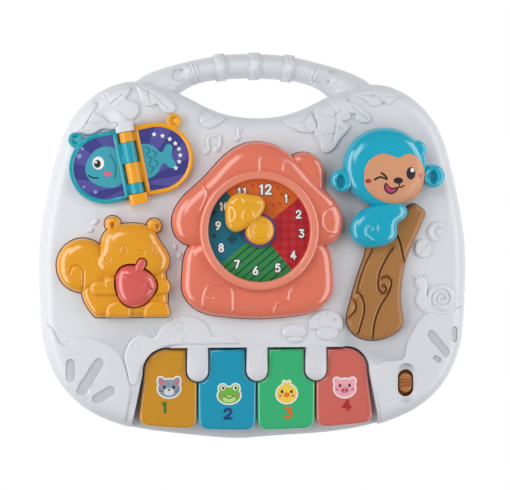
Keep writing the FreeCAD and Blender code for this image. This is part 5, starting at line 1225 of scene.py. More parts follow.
@dataclass
class Monkey:
    """Rocking monkey: body, head with ears and a tuft, and the printed face."""

    base: float = 254.3
    head_centre: tuple = (97.6, 59.8)
    head_radii: tuple = (33.0, 30.7)
    head_height: float = 11.5
    face_proud: float = 0.5

    BODY = ((80.0, 27.2), (73.1, 21.1), (70.0, 11.1), (73.1, 3.2), (80.5, -1.6), (90.0, -2.0), (100.5, 0.8),
            (107.0, 8.0), (107.4, 16.2), (112.6, 20.2), (115.0, 25.5), (111.5, 31.5), (96.0, 33.0))
    FACE = ((366.0, 180.0), (366.0, 172.0), (369.0, 163.0), (375.0, 157.0), (383.0, 153.5), (391.0, 154.0),
            (398.0, 156.5), (402.0, 156.8), (408.0, 154.0), (415.0, 153.5), (421.0, 156.5), (427.0, 164.0),
            (429.5, 175.0), (428.5, 188.0), (422.0, 197.0), (410.0, 202.5), (397.0, 203.5), (383.0, 200.5),
            (372.0, 193.0), (367.0, 186.0))
    SWIRL = ((374.4, 240.6), (368.8, 236.8), (367.0, 231.6), (369.2, 226.4), (374.4, 223.8), (379.6, 226.4),
             (378.8, 230.9), (375.1, 231.6), (373.6, 228.9))

    def draw(self, points: Points) -> np.ndarray:
        """Positions of drawn points at the height of the face."""
        return PLAN.at(points, 19.0)

    def build(self) -> None:
        """Makes the figure and its face."""
        solid = Solid()
        head = Form(ellipse(self.head_centre, self.head_radii, count=220), self.base, self.head_height, 13.0, 9.5,
                    0.3)
        ears = [((63.4, 49.4), 9.0, (342.0, 182.0), (4.4, 6.6)), ((135.2, 53.2), 9.2, (437.5, 176.5), (4.2, 6.6))]
        for place, radius, drawn, hollow in ears:
            # The ear hollows take slot 1: painted shade.
            pit = Pit(tuple(PLAN.at([drawn], 16.0)[0]), hollow, 3.0, 2.0, 1)
            Form(ellipse(place, (radius, radius), count=120), self.base, 9.0, 4.2, 5.5, 0.0, (pit,),
                 step=1.4).add_to(solid)
        Form(ellipse((122.2, 73.2), (7.8, 7.8), count=90), self.base, 9.6, 4.4, 6.0, step=1.6).add_to(solid)
        Form(smooth_loop(self.BODY, 220), self.base, 10.0, 9.0, 7.5, 0.0, grooves([self.SWIRL], 16.0, 2.6, -0.9),
             step=1.8, soft=3.5).add_to(solid)
        head.add_to(solid)
        add_piece("monkey_form", solid, (TURQUOISE, TURQUOISE_HOLLOW_SHADE), Body.MONKEY, replaces=("monkey_figure",))
        self.face(head)

    def face(self, head: Form) -> None:
        """The plate and its printed features, over the curve of the head."""
        solid = Solid()
        plate = Form(smooth_loop(self.draw(self.FACE), 220), head.level, self.face_proud, 0.9, self.face_proud,
                     step=1.5)
        plate.add_to(solid)
        top = plate.level

        def oval(drawn: Pair, radii: Pair, lift: float, slot: int, turn: float = 0.0) -> None:
            """Prints an oval about a drawn point."""
            solid.drape(ellipse(self.draw([drawn])[0], radii, turn, 40), top, lift, slot, step=1.2)

        def line(path: Points, width: float, lift: float, slot: int) -> None:
            """Prints a line along drawn points."""
            solid.stroke(smooth_path(self.draw(path), 22), width, top, lift, slot)

        oval((413.8, 173.0), (3.5, 4.7), 0.12, 1)
        oval((415.2, 169.8), (1.5, 1.6), 0.22, 2)
        line([(376.5, 179.5), (382.0, 177.0), (388.8, 178.8)], 1.5, 0.12, 1)
        line([(383.5, 172.8), (387.3, 175.6), (389.2, 178.9)], 1.5, 0.14, 1)
        oval((400.7, 180.4), (3.6, 2.4), 0.12, 1)
        line([(401.5, 183.0), (402.0, 186.5)], 1.0, 0.12, 1)
        line([(402.0, 186.8), (404.0, 187.0), (406.5, 185.3)], 1.0, 0.14, 1)
        mouth = self.draw([(388.0, 182.6), (386.0, 187.0), (387.8, 191.6), (393.0, 194.3), (397.6, 192.6),
                           (400.6, 189.2), (401.3, 187.0), (396.0, 187.6), (391.0, 185.6)])
        solid.drape(smooth_loop(mouth, 80), top, 0.12, 1, step=1.2)
        tongue = self.draw([(388.6, 184.6), (387.6, 187.6), (389.2, 190.6), (393.2, 192.6), (396.8, 191.2),
                            (399.0, 188.8), (395.6, 189.2), (391.2, 187.4)])
        solid.drape(smooth_loop(tongue, 80), top, 0.22, 3, step=1.2)
        oval((370.0, 181.0), (2.3, 1.7), 0.12, 4)
        oval((424.0, 175.0), (1.7, 1.7), 0.12, 5)
        add_piece("monkey_face_form", solid, (PEACH, PRINT_DARK, PRINT_WHITE, TONGUE_PINK, CHEEK_RED, CHEEK_PINK),
                  Body.MONKEY, replaces=("monkey_face",))


@dataclass
class Squirrel:
    """Squirrel in relief that holds the acorn button."""

    base_y: float = -54.9

    TAIL = ((-153.0, -16.0), (-149.0, -3.0), (-136.0, 5.0), (-121.0, 1.0), (-111.0, -14.0), (-118.0, -31.0),
            (-134.5, -36.0), (-147.5, -30.0))
    BODY = ((-133.8, -38.0), (-131.0, -22.0), (-117.0, -8.0), (-95.0, -2.0), (-76.0, -8.0), (-69.8, -25.0),
            (-69.0, -45.0), (-75.0, -60.0), (-95.0, -63.0), (-115.0, -61.0), (-127.5, -50.5))
    HEAD = ((-118.5, 7.3), (-112.4, 13.2), (-96.3, 16.6), (-81.0, 12.5), (-73.6, 1.2), (-69.4, -5.0),
            (-67.6, -13.5), (-72.5, -22.0), (-84.0, -26.0), (-96.3, -27.0), (-110.0, -25.5), (-122.5, -19.5),
            (-125.2, -12.5), (-121.5, -4.5))
    ACORN = ((-107.8, -20.3), (-109.3, -31.8), (-106.5, -40.0), (-101.0, -46.0), (-94.0, -47.4), (-87.0, -45.0),
             (-80.6, -38.7), (-77.0, -31.0), (-78.5, -26.0), (-84.0, -19.8), (-91.0, -15.7), (-99.0, -14.6),
             (-104.8, -16.5))
    CURL = ((83.8, 290.0), (84.3, 276.1), (83.4, 268.9), (78.0, 265.8), (72.7, 268.0), (70.9, 273.4))
    CAP_LINE = ((124.6, 275.5), (132.0, 276.6), (139.6, 279.7), (146.0, 284.0), (151.2, 288.8))
    CAP_TICK = ((145.4, 284.6), (152.0, 289.6))
    STEM = ((-91.2, -17.5), (-89.0, -13.6), 3.6)

    def build(self) -> None:
        """Makes the cover and the button."""
        solid = Solid()
        acorn = smooth_loop(self.ACORN, 180)
        opening = [inwards(acorn, -0.5), stadium(self.STEM[0], self.STEM[1], self.STEM[2] + 0.5)]

        def cut(points: Points, count: int = 220) -> np.ndarray:
            """A smooth outline that ends straight at the base."""
            loop = smooth_loop(points, count)
            loop[:, 1] = np.maximum(loop[:, 1], self.base_y)
            return loop

        Form(smooth_loop(self.TAIL, 200), DECK_Z, 9.0, 10.0, 8.0, 0.0, grooves([self.CURL], 9.0, 3.2, 1.3),
             step=1.9, soft=4.0).add_to(solid, seam=2)
        Form(cut(self.BODY), DECK_Z, 7.5, 6.5, 6.5, holes=opening, soft=3.0).add_to(solid, seam=2)
        for place, radius, drawn, hollow in (((-110.6, 16.0), 6.2, (113.3, 226.0), (2.2, 3.0)),
                                             ((-79.4, 14.6), 5.8, (157.4, 227.5), (2.2, 3.0))):
            # The ear hollows take slot 1: painted shade.
            pit = Pit(tuple(PLAN.at([drawn], 7.0)[0]), hollow, 1.6, 1.3, 1)
            Form(ellipse(place, (radius, radius), count=90), DECK_Z, 7.5, 3.4, 5.0, 0.0, (pit,), step=1.2).add_to(
                solid, seam=2)
        features = [Mark(ellipse(PLAN.at([drawn], 12.0)[0], radii, 0.0, 40), 1.5, -0.6, True)
                    for drawn, radii in (((123.4, 250.2), (2.5, 3.3)), ((140.5, 253.3), (3.2, 1.9)),
                                         ((153.6, 250.0), (1.7, 3.0)), ((108.4, 259.1), (1.9, 1.9)))]
        # This small hollow takes slot 1: painted shade.
        features.append(Pit(tuple(PLAN.at([(140.5, 258.6)], 12.0)[0]), (1.2, 1.2), 0.5, 0.8, 1))
        Form(smooth_loop(self.HEAD, 240), DECK_Z, 12.0, 12.0, 9.0, 0.0, features, opening, 1.6, 4.5).add_to(
            solid, seam=2)
        for start, end, radius, height in (((-122.0, -32.5), (-106.0, -32.5), 6.2, 10.0),
                                           ((-112.6, -29.2), (-111.0, -29.2), 5.6, 10.6),
                                           ((-80.0, -31.5), (-73.5, -31.5), 6.6, 10.0),
                                           ((-107.5, -50.5), (-105.5, -50.5), 9.0, 9.5),
                                           ((-79.0, -50.5), (-76.5, -50.5), 9.2, 9.5)):
            limb = stadium(start, end, radius, 120)
            limb[:, 1] = np.maximum(limb[:, 1], self.base_y)
            Form(limb, DECK_Z, height, 3.4, 4.0, holes=opening, step=1.8).add_to(solid, seam=2)
        add_piece("squirrel_form", solid, (AMBER, AMBER_HOLLOW_SHADE, GAP_SHADE), Body.BOARD, replaces=("squirrel_cover",))
        button = Solid()
        Form(acorn, 250.4, 10.6, 9.0, 8.0, 0.0, grooves([self.CAP_LINE, self.CAP_TICK], 14.0, 2.2, 0.7),
             step=1.5, soft=3.0).add_to(button)
        Form(stadium(*self.STEM), 250.4, 9.6, 2.4, 3.0, step=1.2).add_to(button)
        add_piece("acorn_form", button, (ACORN_CORAL,), Body.ACORN, replaces=("acorn_button",))


@dataclass
class FlipBook:
    """The pictures of the two book leaves: rays, a fish across both and an arc of small stars.

    Args:
        hinge: middle of the hinge pin.
        turn: angle of the pin from +Y, in degrees.
        level: level of the picture plates.
    """

    hinge: tuple = (-96.6, 62.1)
    turn: float = 11.3
    level: float = 252.05

    def place(self, points: Points) -> np.ndarray:
        """Positions of points given along and across the hinge."""
        tilt = math.radians(self.turn)
        points = np.atleast_2d(np.asarray(points, float))
        x = points[:, 0] * math.cos(tilt) - points[:, 1] * math.sin(tilt)
        y = points[:, 0] * math.sin(tilt) + points[:, 1] * math.cos(tilt)
        return np.column_stack([x, y]) + self.hinge

    def rays(self, points: np.ndarray) -> np.ndarray:
        """Colour of each point: 0 for the ground and 1 for the rays that fan out from below the hinge."""
        apart = points - self.place([(0.0, -16.0)])[0]
        angle = np.degrees(np.arctan2(apart[:, 1], apart[:, 0])) % 360
        return (np.floor((angle - self.turn) / 15.0) % 2).astype(int)

    def build(self, frame: dict) -> None:
        """Makes both pictures."""
        x, y = self.place([(0.0, -16.0)])[0]
        cuts = [(x, y, self.turn + 15.0 * step, None) for step in range(12)]
        for node, body in (("book_left_picture", Body.LEFT_LEAF), ("book_right_picture", Body.RIGHT_LEAF)):
            painted(frame, node, (FILM, FILM_LIGHT), body, cuts, self.rays, self.rays)
        self.head()
        self.tail()

    def head(self) -> None:
        """Head of the fish and the bubbles, on the left leaf."""
        solid = Solid()
        outline = self.place([(-10.4, 13.0), (-16.0, 15.8), (-24.0, 15.0), (-31.0, 9.6), (-35.0, 2.2), (-34.6, -4.4),
                              (-30.0, -10.4), (-22.0, -14.8), (-15.0, -15.6), (-10.4, -13.6), (-9.9, 0.0)])
        solid.drape(smooth_loop(outline, 160), self.level, 0.06, 0)
        solid.drape(ellipse(self.place([(-24.6, 4.6)])[0], (4.4, 4.9), count=48), self.level, 0.14, 1)
        solid.drape(ellipse(self.place([(-25.4, 4.2)])[0], (2.5, 3.0), count=40), self.level, 0.22, 2)
        solid.drape(ellipse(self.place([(-26.2, 5.6)])[0], (0.9, 1.0), count=24), self.level, 0.3, 1)
        solid.drape(ellipse(self.place([(-19.4, -4.6)])[0], (2.9, 2.1), count=36), self.level, 0.14, 3)
        mouth = self.place([(-33.6, -3.2), (-30.6, -5.6), (-27.0, -6.2)])
        solid.stroke(smooth_path(mouth, 24), 1.1, self.level, 0.14, 2)
        gill = self.place([(-14.6, 8.6), (-12.6, 3.6), (-12.6, -3.0), (-14.8, -8.6)])
        solid.stroke(smooth_path(gill, 30), 1.1, self.level, 0.14, 4)
        for centre, size in (((-37.6, 12.4), 1.8), ((-34.2, 17.4), 1.2), ((-31.0, -16.4), 1.4),
                             ((-38.6, -11.0), 1.0)):
            solid.drape(ellipse(self.place([centre])[0], (size, size), count=28), self.level, 0.06, 5)
        add_piece("fish_head_print", solid, (FISH_TEAL, PRINT_WHITE, PRINT_DARK, CHEEK_PINK, FISH_DEEP, FILM_PALE),
                  Body.LEFT_LEAF)

    def tail(self) -> None:
        """Body and tail of the fish and the arc of stars, on the right leaf."""
        solid = Solid()
        outline = self.place([(10.3, 12.4), (15.0, 11.6), (20.0, 7.8), (24.0, 3.6), (29.6, 8.8), (32.4, 7.4),
                              (31.0, 0.0), (32.4, -8.6), (29.4, -9.8), (24.0, -4.8), (19.6, -9.0), (14.6, -13.0),
                              (10.3, -14.0), (9.9, 0.0)])
        solid.drape(smooth_loop(outline, 180), self.level, 0.06, 0)
        for across in (-7.0, 0.0, 7.0):
            scale = self.place([(13.0, across - 2.6), (15.6, across), (13.0, across + 2.6)])
            solid.stroke(smooth_path(scale, 20), 1.0, self.level, 0.14, 1)
        for across in (-3.6, 3.6):
            scale = self.place([(17.6, across - 2.4), (19.8, across), (17.6, across + 2.4)])
            solid.stroke(smooth_path(scale, 20), 1.0, self.level, 0.14, 1)
        for step in range(8):
            angle = math.radians(68.0 - step * 15.0)
            centre = self.place([(11.0 + 26.6 * math.cos(angle), 18.4 * math.sin(angle) + 1.0)])[0]
            size = np.where(np.arange(10) % 2 == 0, 2.1, 0.95)
            spread = math.radians(90.0) + np.arange(10) * math.pi / 5
            star = centre + np.column_stack([size * np.cos(spread), size * np.sin(spread)])
            solid.drape(star, self.level, 0.14, 2)
        add_piece("fish_tail_print", solid, (FISH_TEAL, FISH_DEEP, PRINT_WHITE), Body.RIGHT_LEAF)


@dataclass
class Stickers:
    """White-edged animal heads and plain numbers on the four keys."""

    CENTRES = ((169.0, 388.0), (229.0, 394.5), (287.0, 394.5), (346.0, 389.5))
    NUMBERS_AT = ((164.5, 406.8), (227.8, 414.0), (288.6, 413.6), (348.0, 406.8))

    def build(self, frame: dict) -> None:
        """Makes the print of each key."""
        bodies = (Body.KEY_1, Body.KEY_2, Body.KEY_3, Body.KEY_4)
        animals = (self.cat, self.frog, self.chick, self.pig)
        inks = (INK_GREEN, INK_NAVY, INK_ORANGE, INK_RED)
        for index, (body, animal, ink) in enumerate(zip(bodies, animals, inks)):
            skin = Skin(frame, "key_%d" % (index + 1), 244.4)
            centre = PLAN.at([self.CENTRES[index]], -2.6)[0]
            solid = Solid()
            animal(solid, centre, skin)
            place = PLAN.at([self.NUMBERS_AT[index]], -2.6)[0]
            print_number(solid, str(index + 1), place, 9.4, skin, 0.1, 0.21, 0.0, (5, 5), 1.25)
            add_piece("key_%d_print" % (index + 1), solid,
                      (PRINT_WHITE, *self.paints[index], PRINT_DARK, ink), body)

    @property
    def paints(self) -> tuple:
        """Coat, light patch and cheek colours of each animal."""
        return ((CAT_GREY, CAT_PALE, CHEEK_PINK), (FROG_GREEN, FROG_PALE, CHEEK_PINK),
                (CHICK_YELLOW, CHICK_BEAK, CHEEK_PINK), (PIG_PINK, PIG_SNOUT, CHEEK_PINK))

    def patches(self, solid: Solid, centre: Pair, skin: Skin, parts: Sequence, edge: float = 1.1) -> None:
        """Prints white-edged ovals, each (x, y, radius x, radius y, turn), in the coat colour."""
        for order, (x, y, wide, high, turn) in enumerate(parts):
            solid.drape(ellipse(centre + (x, y), (wide + edge, high + edge), turn, 44), skin, 0.06 + 0.02 * order, 0,
                        step=2.0)
        for order, (x, y, wide, high, turn) in enumerate(parts):
            solid.drape(ellipse(centre + (x, y), (wide, high), turn, 44), skin, 0.14 + 0.02 * order, 1, step=2.0)

    def dots(self, solid: Solid, centre: Pair, skin: Skin, parts: Sequence, lift: float, slot: int) -> None:
        """Prints ovals, each (x, y, radius x, radius y), in one colour."""
        for x, y, wide, high in parts:
            solid.drape(ellipse(centre + (x, y), (wide, high), 0.0, 28), skin, lift, slot, step=2.0)

    def cat(self, solid: Solid, centre: Pair, skin: Skin) -> None:
        """Cat's head."""
        self.patches(solid, centre, skin, ((-5.4, 4.6, 2.6, 4.2, 28.0), (5.4, 4.6, 2.6, 4.2, -28.0),
                                           (0, 0, 8.4, 6.9, 0)))
        self.dots(solid, centre, skin, ((-5.6, 4.8, 1.2, 2.2), (5.6, 4.8, 1.2, 2.2)), 0.24, 3)
        self.dots(solid, centre, skin, ((0, -2.6, 4.0, 2.8),), 0.24, 2)
        self.dots(solid, centre, skin, ((-3.6, 1.0, 1.0, 1.3), (3.6, 1.0, 1.0, 1.3), (0.0, -1.2, 0.9, 0.7)), 0.32, 4)
        for side in (-1, 1):
            whisker = centre + np.array([(side * 4.6, -2.2), (side * 7.4, -1.6)])
            solid.stroke(smooth_path(whisker, 6), 0.5, skin, 0.32, 4)

    def frog(self, solid: Solid, centre: Pair, skin: Skin) -> None:
        """Frog's head."""
        self.patches(solid, centre, skin, ((-4.9, 4.6, 3.0, 3.0, 0), (4.9, 4.6, 3.0, 3.0, 0), (0, -0.8, 8.6, 6.3, 0)))
        self.dots(solid, centre, skin, ((-4.9, 4.9, 1.9, 1.9), (4.9, 4.9, 1.9, 1.9)), 0.24, 0)
        self.dots(solid, centre, skin, ((0, -3.6, 5.0, 2.6),), 0.24, 2)
        self.dots(solid, centre, skin, ((-4.7, 4.8, 1.0, 1.1), (5.1, 4.8, 1.0, 1.1)), 0.32, 4)
        self.dots(solid, centre, skin, ((-6.2, -1.0, 1.1, 0.9), (6.2, -1.0, 1.1, 0.9)), 0.3, 3)
        smile = centre + np.array([(-3.4, -1.6), (0.0, -3.0), (3.4, -1.6)])
        solid.stroke(smooth_path(smile, 20), 0.7, skin, 0.32, 4)

    def chick(self, solid: Solid, centre: Pair, skin: Skin) -> None:
        """Chick's head."""
        self.patches(solid, centre, skin, ((-1.3, 7.4, 1.1, 2.4, 20.0), (1.3, 7.4, 1.1, 2.4, -20.0),
                                           (0, 0, 7.8, 7.2, 0)))
        beak = centre + np.array([(-2.4, -0.2), (0.0, -3.0), (2.4, -0.2), (0.0, 1.0)])
        solid.drape(smooth_loop(beak, 40), skin, 0.24, 2)
        self.dots(solid, centre, skin, ((-3.7, 1.6, 0.95, 1.25), (3.7, 1.6, 0.95, 1.25)), 0.32, 4)
        self.dots(solid, centre, skin, ((-5.0, -1.6, 1.2, 0.9), (5.0, -1.6, 1.2, 0.9)), 0.3, 3)

    def pig(self, solid: Solid, centre: Pair, skin: Skin) -> None:
        """Pig's head."""
        self.patches(solid, centre, skin, ((-5.8, 5.0, 2.4, 3.0, 35.0), (5.8, 5.0, 2.4, 3.0, -35.0),
                                           (0, 0, 8.2, 7.0, 0)))
        self.dots(solid, centre, skin, ((0, -1.8, 3.5, 2.5),), 0.24, 2)
        self.dots(solid, centre, skin, ((-1.3, -1.8, 0.6, 0.9), (1.3, -1.8, 0.6, 0.9)), 0.34, 4)
        self.dots(solid, centre, skin, ((-3.7, 2.0, 0.95, 1.25), (3.7, 2.0, 0.95, 1.25)), 0.32, 4)
        self.dots(solid, centre, skin, ((-6.0, -1.0, 1.1, 0.9), (6.0, -1.0, 1.1, 0.9)), 0.3, 3)


@dataclass
class DeckReliefs:
    """White leaves, notes, seeds, snail, mushrooms, cloud and bushes moulded into the deck."""

    BOARD_RIGHT = ((0.0, -150.0), (52.0, -147.0), (100.0, -139.0), (139.0, -118.5), (160.0, -85.0), (165.6, -40.0),
                   (165.6, 0.0), (157.0, 51.0), (140.0, 98.0), (115.0, 120.0), (94.0, 125.5), (74.0, 122.0),
                   (56.0, 115.0), (30.0, 103.0), (0.0, 98.3))
    LEAVES = (
        (((101, 92), (112, 86), (124, 85), (131, 92), (126, 101), (133, 103), (139, 110), (137, 118), (130, 122),
          (118, 115), (108, 104)), (((103, 92), (112, 107), (129, 120)), ((112, 106), (122, 97)))),
        (((133, 84), (148, 87), (162, 93), (171, 102), (175, 112), (163, 113), (158, 106), (150, 108), (141, 101),
          (139, 93)), (((136, 86), (152, 95), (168, 109)), ((148, 93), (151, 104)))),
        (((79, 133), (81, 120), (87, 108), (95, 104), (98, 108), (95, 114), (103, 118), (110, 124), (116, 124),
          (115, 131), (104, 131), (98, 134), (88, 137)),
         (((84, 131), (92, 118), (97, 108)), ((88, 125), (104, 126)))),
        (((340, 93), (348, 99), (350, 108), (349, 120), (343, 121), (350, 124), (345, 135), (340, 141), (335, 149),
          (324, 153), (320, 140), (315, 133), (318, 126), (316, 118), (317, 108), (327, 98)),
         (((330, 101), (336, 112), (337, 124), (334, 140)), ((336, 126), (344, 129)), ((336, 115), (343, 110)),
          ((336, 118), (322, 114)), ((336, 134), (324, 136)))),
        (((350, 101), (358, 104), (366, 110), (372, 119), (370, 122), (360, 121), (357, 117), (358, 114),
          (352, 113)), (((353, 105), (360, 112), (369, 119)),)),
        (((352, 91), (365, 90), (375, 87), (388, 88), (398, 92), (404, 96), (398, 98), (390, 104), (386, 101),
          (380, 105), (373, 105), (367, 100)), (((355, 93), (375, 95), (399, 95)), ((374, 95), (381, 91)),
                                                ((376, 95), (384, 100)))),
        (((308, 109), (300, 113), (288, 117), (285, 121), (288, 125), (300, 132), (310, 133), (316, 131),
          (314, 118)), (((311, 112), (304, 121), (290, 121)), ((303, 122), (308, 130)))),
        (((200, 120), (206, 112), (214, 107), (224, 106), (230, 109), (226, 118), (217, 126), (206, 129)),
         (((203, 125), (213, 117), (226, 110)),)),
        (((418, 249), (420, 242), (427, 240), (433, 245), (434, 252), (429, 258), (421, 257)),
         (((421, 256), (427, 249), (431, 243)),)),
    )
    CLOUD = ((124.8, 355.2), (126.2, 349.8), (131.0, 340.2), (142.0, 334.7), (155.5, 336.4), (158.5, 332.0),
             (162.5, 326.5), (173.5, 318.2), (187.2, 315.5), (199.5, 318.9), (207.8, 326.5), (212.5, 336.0),
             (217.0, 336.6), (226.0, 334.8), (235.0, 338.0), (239.6, 343.4), (232.0, 344.4), (204.0, 344.6),
             (176.0, 344.6), (164.0, 347.0), (152.0, 354.5), (143.0, 364.0), (139.4, 372.0), (134.0, 385.0),
             (131.0, 384.0), (128.6, 376.0), (126.0, 364.8))
    LEFT_BUSH = ((30.0, 316.0), (48.0, 323.0), (55.6, 330.6), (60.6, 341.5), (64.6, 344.0), (74.8, 339.5),
                 (88.5, 337.4), (103.6, 341.5), (117.3, 351.1), (124.8, 364.8), (128.6, 379.0), (130.6, 386.0),
                 (129.0, 402.0), (126.0, 424.0), (123.6, 440.0), (95.0, 446.0), (50.0, 425.0), (25.0, 370.0))
    RIGHT_BUSH = ((431.0, 315.0), (424.0, 320.6), (418.4, 328.0), (412.4, 340.0), (409.4, 350.5), (407.0, 359.6),
                  (402.0, 361.8), (394.0, 362.2), (383.9, 364.6), (377.6, 369.4), (375.8, 376.0), (379.0, 396.0),
                  (384.6, 424.0), (387.4, 440.0), (420.0, 446.0), (465.0, 420.0), (490.0, 360.0), (482.0, 306.0),
                  (455.0, 311.0))
    SWITCH = ((116.0, -115.0), (116.0, -99.0), 7.6)
    RIDGES = (
        ((209.0, 152.0), (208.5, 139.0), (219.5, 137.0), (219.5, 149.0)),
        ((239.0, 139.0), (238.0, 128.5), (242.0, 131.5)),
    )
    PEBBLE = ((447.0, 227.5), (441.0, 224.5), (435.5, 227.5), (433.6, 233.0), (436.5, 238.6), (442.5, 240.2))
    RINGS = ((179.7, 326.5, 4.4), (168.0, 336.0, 3.8), (185.8, 339.5, 2.7), (137.8, 345.7, 3.8))
    SLOTS = (((72.0, 362.8), (72.0, 375.8), 4.8), ((99.4, 362.8), (83.0, 389.5), 5.5),
             ((98.0, 397.8), (111.0, 390.0), 5.0),
             ((434.8, 336.2), (449.8, 354.2), 4.2), ((458.8, 331.0), (458.8, 341.4), 2.6),
             ((439.0, 360.0), (442.6, 362.0), 2.4))
    DOTS = ((96.0, 223.0, 4.2, 2.6, 40.0), (91.0, 231.0, 4.2, 2.6, 20.0), (175.0, 247.0, 2.4, 3.9, 12.0),
            (179.0, 256.5, 2.6, 3.9, -25.0), (205.6, 153.0, 3.9, 3.0, 20.0), (216.4, 150.4, 3.9, 3.0, 20.0),
            (236.6, 139.6, 3.4, 2.6, 20.0), (443.2, 232.6, 3.6, 3.2, 0.0), (418.8, 278.0, 1.9, 1.9, 0.0),
            (429.1, 277.3, 1.9, 1.9, 0.0))
    SNAIL_BODY = ((424.0, 276.5), (418.5, 280.5), (418.6, 287.0), (421.7, 291.4), (418.8, 298.9), (421.5, 309.0),
                  (429.0, 315.0), (437.0, 316.5), (457.0, 314.5), (459.0, 309.5), (440.0, 305.0), (430.5, 296.0),
                  (430.5, 283.0))
    CAP_PLACE = (59.0, 131.0)
    CAP_RADIUS = 5.4
    CAP_SEAT = 6.1
    CAP_LIFT = 0.1
    CAP_SIDES = 48
    HANDLE_LINES = (((193.0, 60.0), (199.5, 81.0)), ((196.5, 59.0), (203.0, 79.5)), ((320.5, 61.0), (314.3, 82.0)),
                    ((325.0, 61.0), (317.6, 84.0)))

    def build(self, frame: dict) -> None:
        """Makes every relief of the deck in one piece."""
        deck = Skin(frame, "top_shell")
        solid = Solid()
        edge = inwards(smooth_loop(mirrored(self.BOARD_RIGHT), 400), 3.2)
        for outline, veins in self.LEAVES:
            marks = [Mark(smooth_path(PLAN.at(vein)), 2.2, -1.0) for vein in veins]
            Form(self.kept_on(smooth_loop(PLAN.at(outline), 150), edge), deck, 2.1, 1.2, 1.4, 0.0, marks,
                 step=2.0).add_to(solid)
        self.plateaus(solid, deck, edge)
        for path in self.RIDGES:
            solid.ridge(smooth_path(PLAN.at(path), 110), 2.3, 1.25, deck, taper=0.04)
        solid.ridge(smooth_path(PLAN.at(self.PEBBLE), 60), 4.6, 1.9, deck, taper=0.1)
        for x, y, wide, high, turn in self.DOTS:
            Form(ellipse(PLAN.at([(x, y)])[0], (wide * PLAN.unit, high * PLAN.unit), turn, 40), deck, 1.2,
                 min(wide, high) * 0.7, 1.2, step=1.0).add_to(solid)
        self.snail(solid, deck)
        self.mushrooms(solid, deck)
        for side in (-1, 1):
            centre = (self.CAP_PLACE[0] * side, self.CAP_PLACE[1])
            around = deck(ellipse(centre, (self.CAP_SEAT,) * 2, count=self.CAP_SIDES)) + self.CAP_LIFT
            rim = ellipse(centre, (self.CAP_RADIUS,) * 2, count=self.CAP_SIDES)
            disc = np.vstack([np.column_stack([rim, around]), [[*centre, around.mean() + self.CAP_LIFT]]])
            solid.add(disc, [(i, (i + 1) % self.CAP_SIDES, self.CAP_SIDES) for i in range(self.CAP_SIDES)])
        for path in self.HANDLE_LINES:
            solid.ridge(np.linspace(*PLAN.at(path, 12.0), 40), 1.7, 0.9, deck, taper=0.1)
        add_piece("deck_reliefs", solid, (WHITE, SLOT_FLOOR_SHADE), Body.BOARD)

    def plateaus(self, solid: Solid, deck: Skin, edge: np.ndarray) -> None:
        """Cloud and bushes as raised areas of the deck, with their sunken slots."""
        # The floors of the slots take slot 1: painted shade in a darker grey.
        slots = [Mark(smooth_path(PLAN.at([start, end]), 12), 2 * radius * PLAN.unit + 0.8, -1.2, False, 1, flat=0.78)
                 for start, end, radius in self.SLOTS]
        rings = [Mark(ellipse(PLAN.at([(x, y)])[0], (radius * PLAN.unit,) * 2, count=48), 1.4, -0.5, True)
                 for x, y, radius in self.RINGS]
        for outline, height, marks, holes in ((self.CLOUD, 1.2, rings, ()), (self.LEFT_BUSH, 1.7, slots[:3], ()),
                                              (self.RIGHT_BUSH, 1.7, slots[3:], (stadium(*self.SWITCH),))):
            loop = self.kept_on(smooth_loop(PLAN.at(outline), 260), edge)
            Form(loop, deck, height, 1.5, height, 0.0, marks, holes, 3.2).add_to(solid)

    @staticmethod
    def kept_on(loop: np.ndarray, edge: np.ndarray) -> np.ndarray:
        """A loop with the points that lie beyond an edge moved onto it."""
        apart = np.linalg.norm(loop[:, None] - edge[None], axis=2)
        nearest = edge[apart.argmin(axis=1)]
        kept = np.where(inside(loop, edge)[:, None], loop, nearest)
        steps = np.linalg.norm(kept - np.roll(kept, 1, 0), axis=1)
        return even_steps(kept[steps > 0.05], len(loop), True)

    def snail(self, solid: Solid, deck: Skin) -> None:
        """Snail with a coiled shell."""
        Form(smooth_loop(PLAN.at(self.SNAIL_BODY), 140), deck, 2.2, 3.0, 2.2).add_to(solid)
        centre = PLAN.at([(445.4, 299.6)])[0]
        coil = Mark(spiral(centre, 8.8, 0.9, -100.0, -2.1, 120), 2.2, -1.3)
        Form(ellipse(centre, (11.4, 11.4), count=110), deck, 3.2, 4.0, 3.2, 0.0, (coil,), step=1.4).add_to(solid)
        for path in (((423.0, 283.0), (419.4, 278.6)), ((425.0, 283.0), (428.6, 278.0))):
            solid.ridge(smooth_path(PLAN.at(path), 12), 1.4, 1.2, deck)

    def mushrooms(self, solid: Solid, deck: Skin) -> None:
        """Two mushrooms, the larger with spots."""
        caps = ((((282.7, 334.0), (285.0, 328.0), (291.0, 324.6), (299.0, 324.4), (304.5, 328.6), (306.7, 334.6),
                  (303.6, 338.2), (294.5, 338.5), (285.6, 338.2)), ()),
                (((309.7, 323.0), (313.5, 315.5), (321.0, 311.0), (331.0, 310.8), (340.0, 315.0), (344.9, 323.5),
                  (343.5, 330.0), (334.0, 331.0), (327.0, 329.5), (319.0, 331.0), (311.2, 329.8)),
                 ((327.7, 315.2, 2.7), (318.7, 322.0, 3.3), (335.9, 323.5, 4.2))))
        for outline, spots in caps:
            marks = [Pit(tuple(PLAN.at([(x, y)])[0]), (r * PLAN.unit,) * 2, 0.9, 0.9) for x, y, r in spots]
            Form(smooth_loop(PLAN.at(outline), 120), deck, 2.2, 3.0, 2.2, 0.0, marks, step=1.4).add_to(solid)
        for outline in (((288.7, 337.5), (302.2, 337.5), (302.4, 341.5), (295.5, 343.7), (288.6, 341.5)),
                        ((318.0, 330.5), (339.0, 330.5), (337.6, 338.5), (328.5, 341.5), (319.4, 338.5))):
            Form(smooth_loop(PLAN.at(outline), 80), deck, 1.5, 2.0, 1.5).add_to(solid)


# ---------------------------------------------------------------- studio


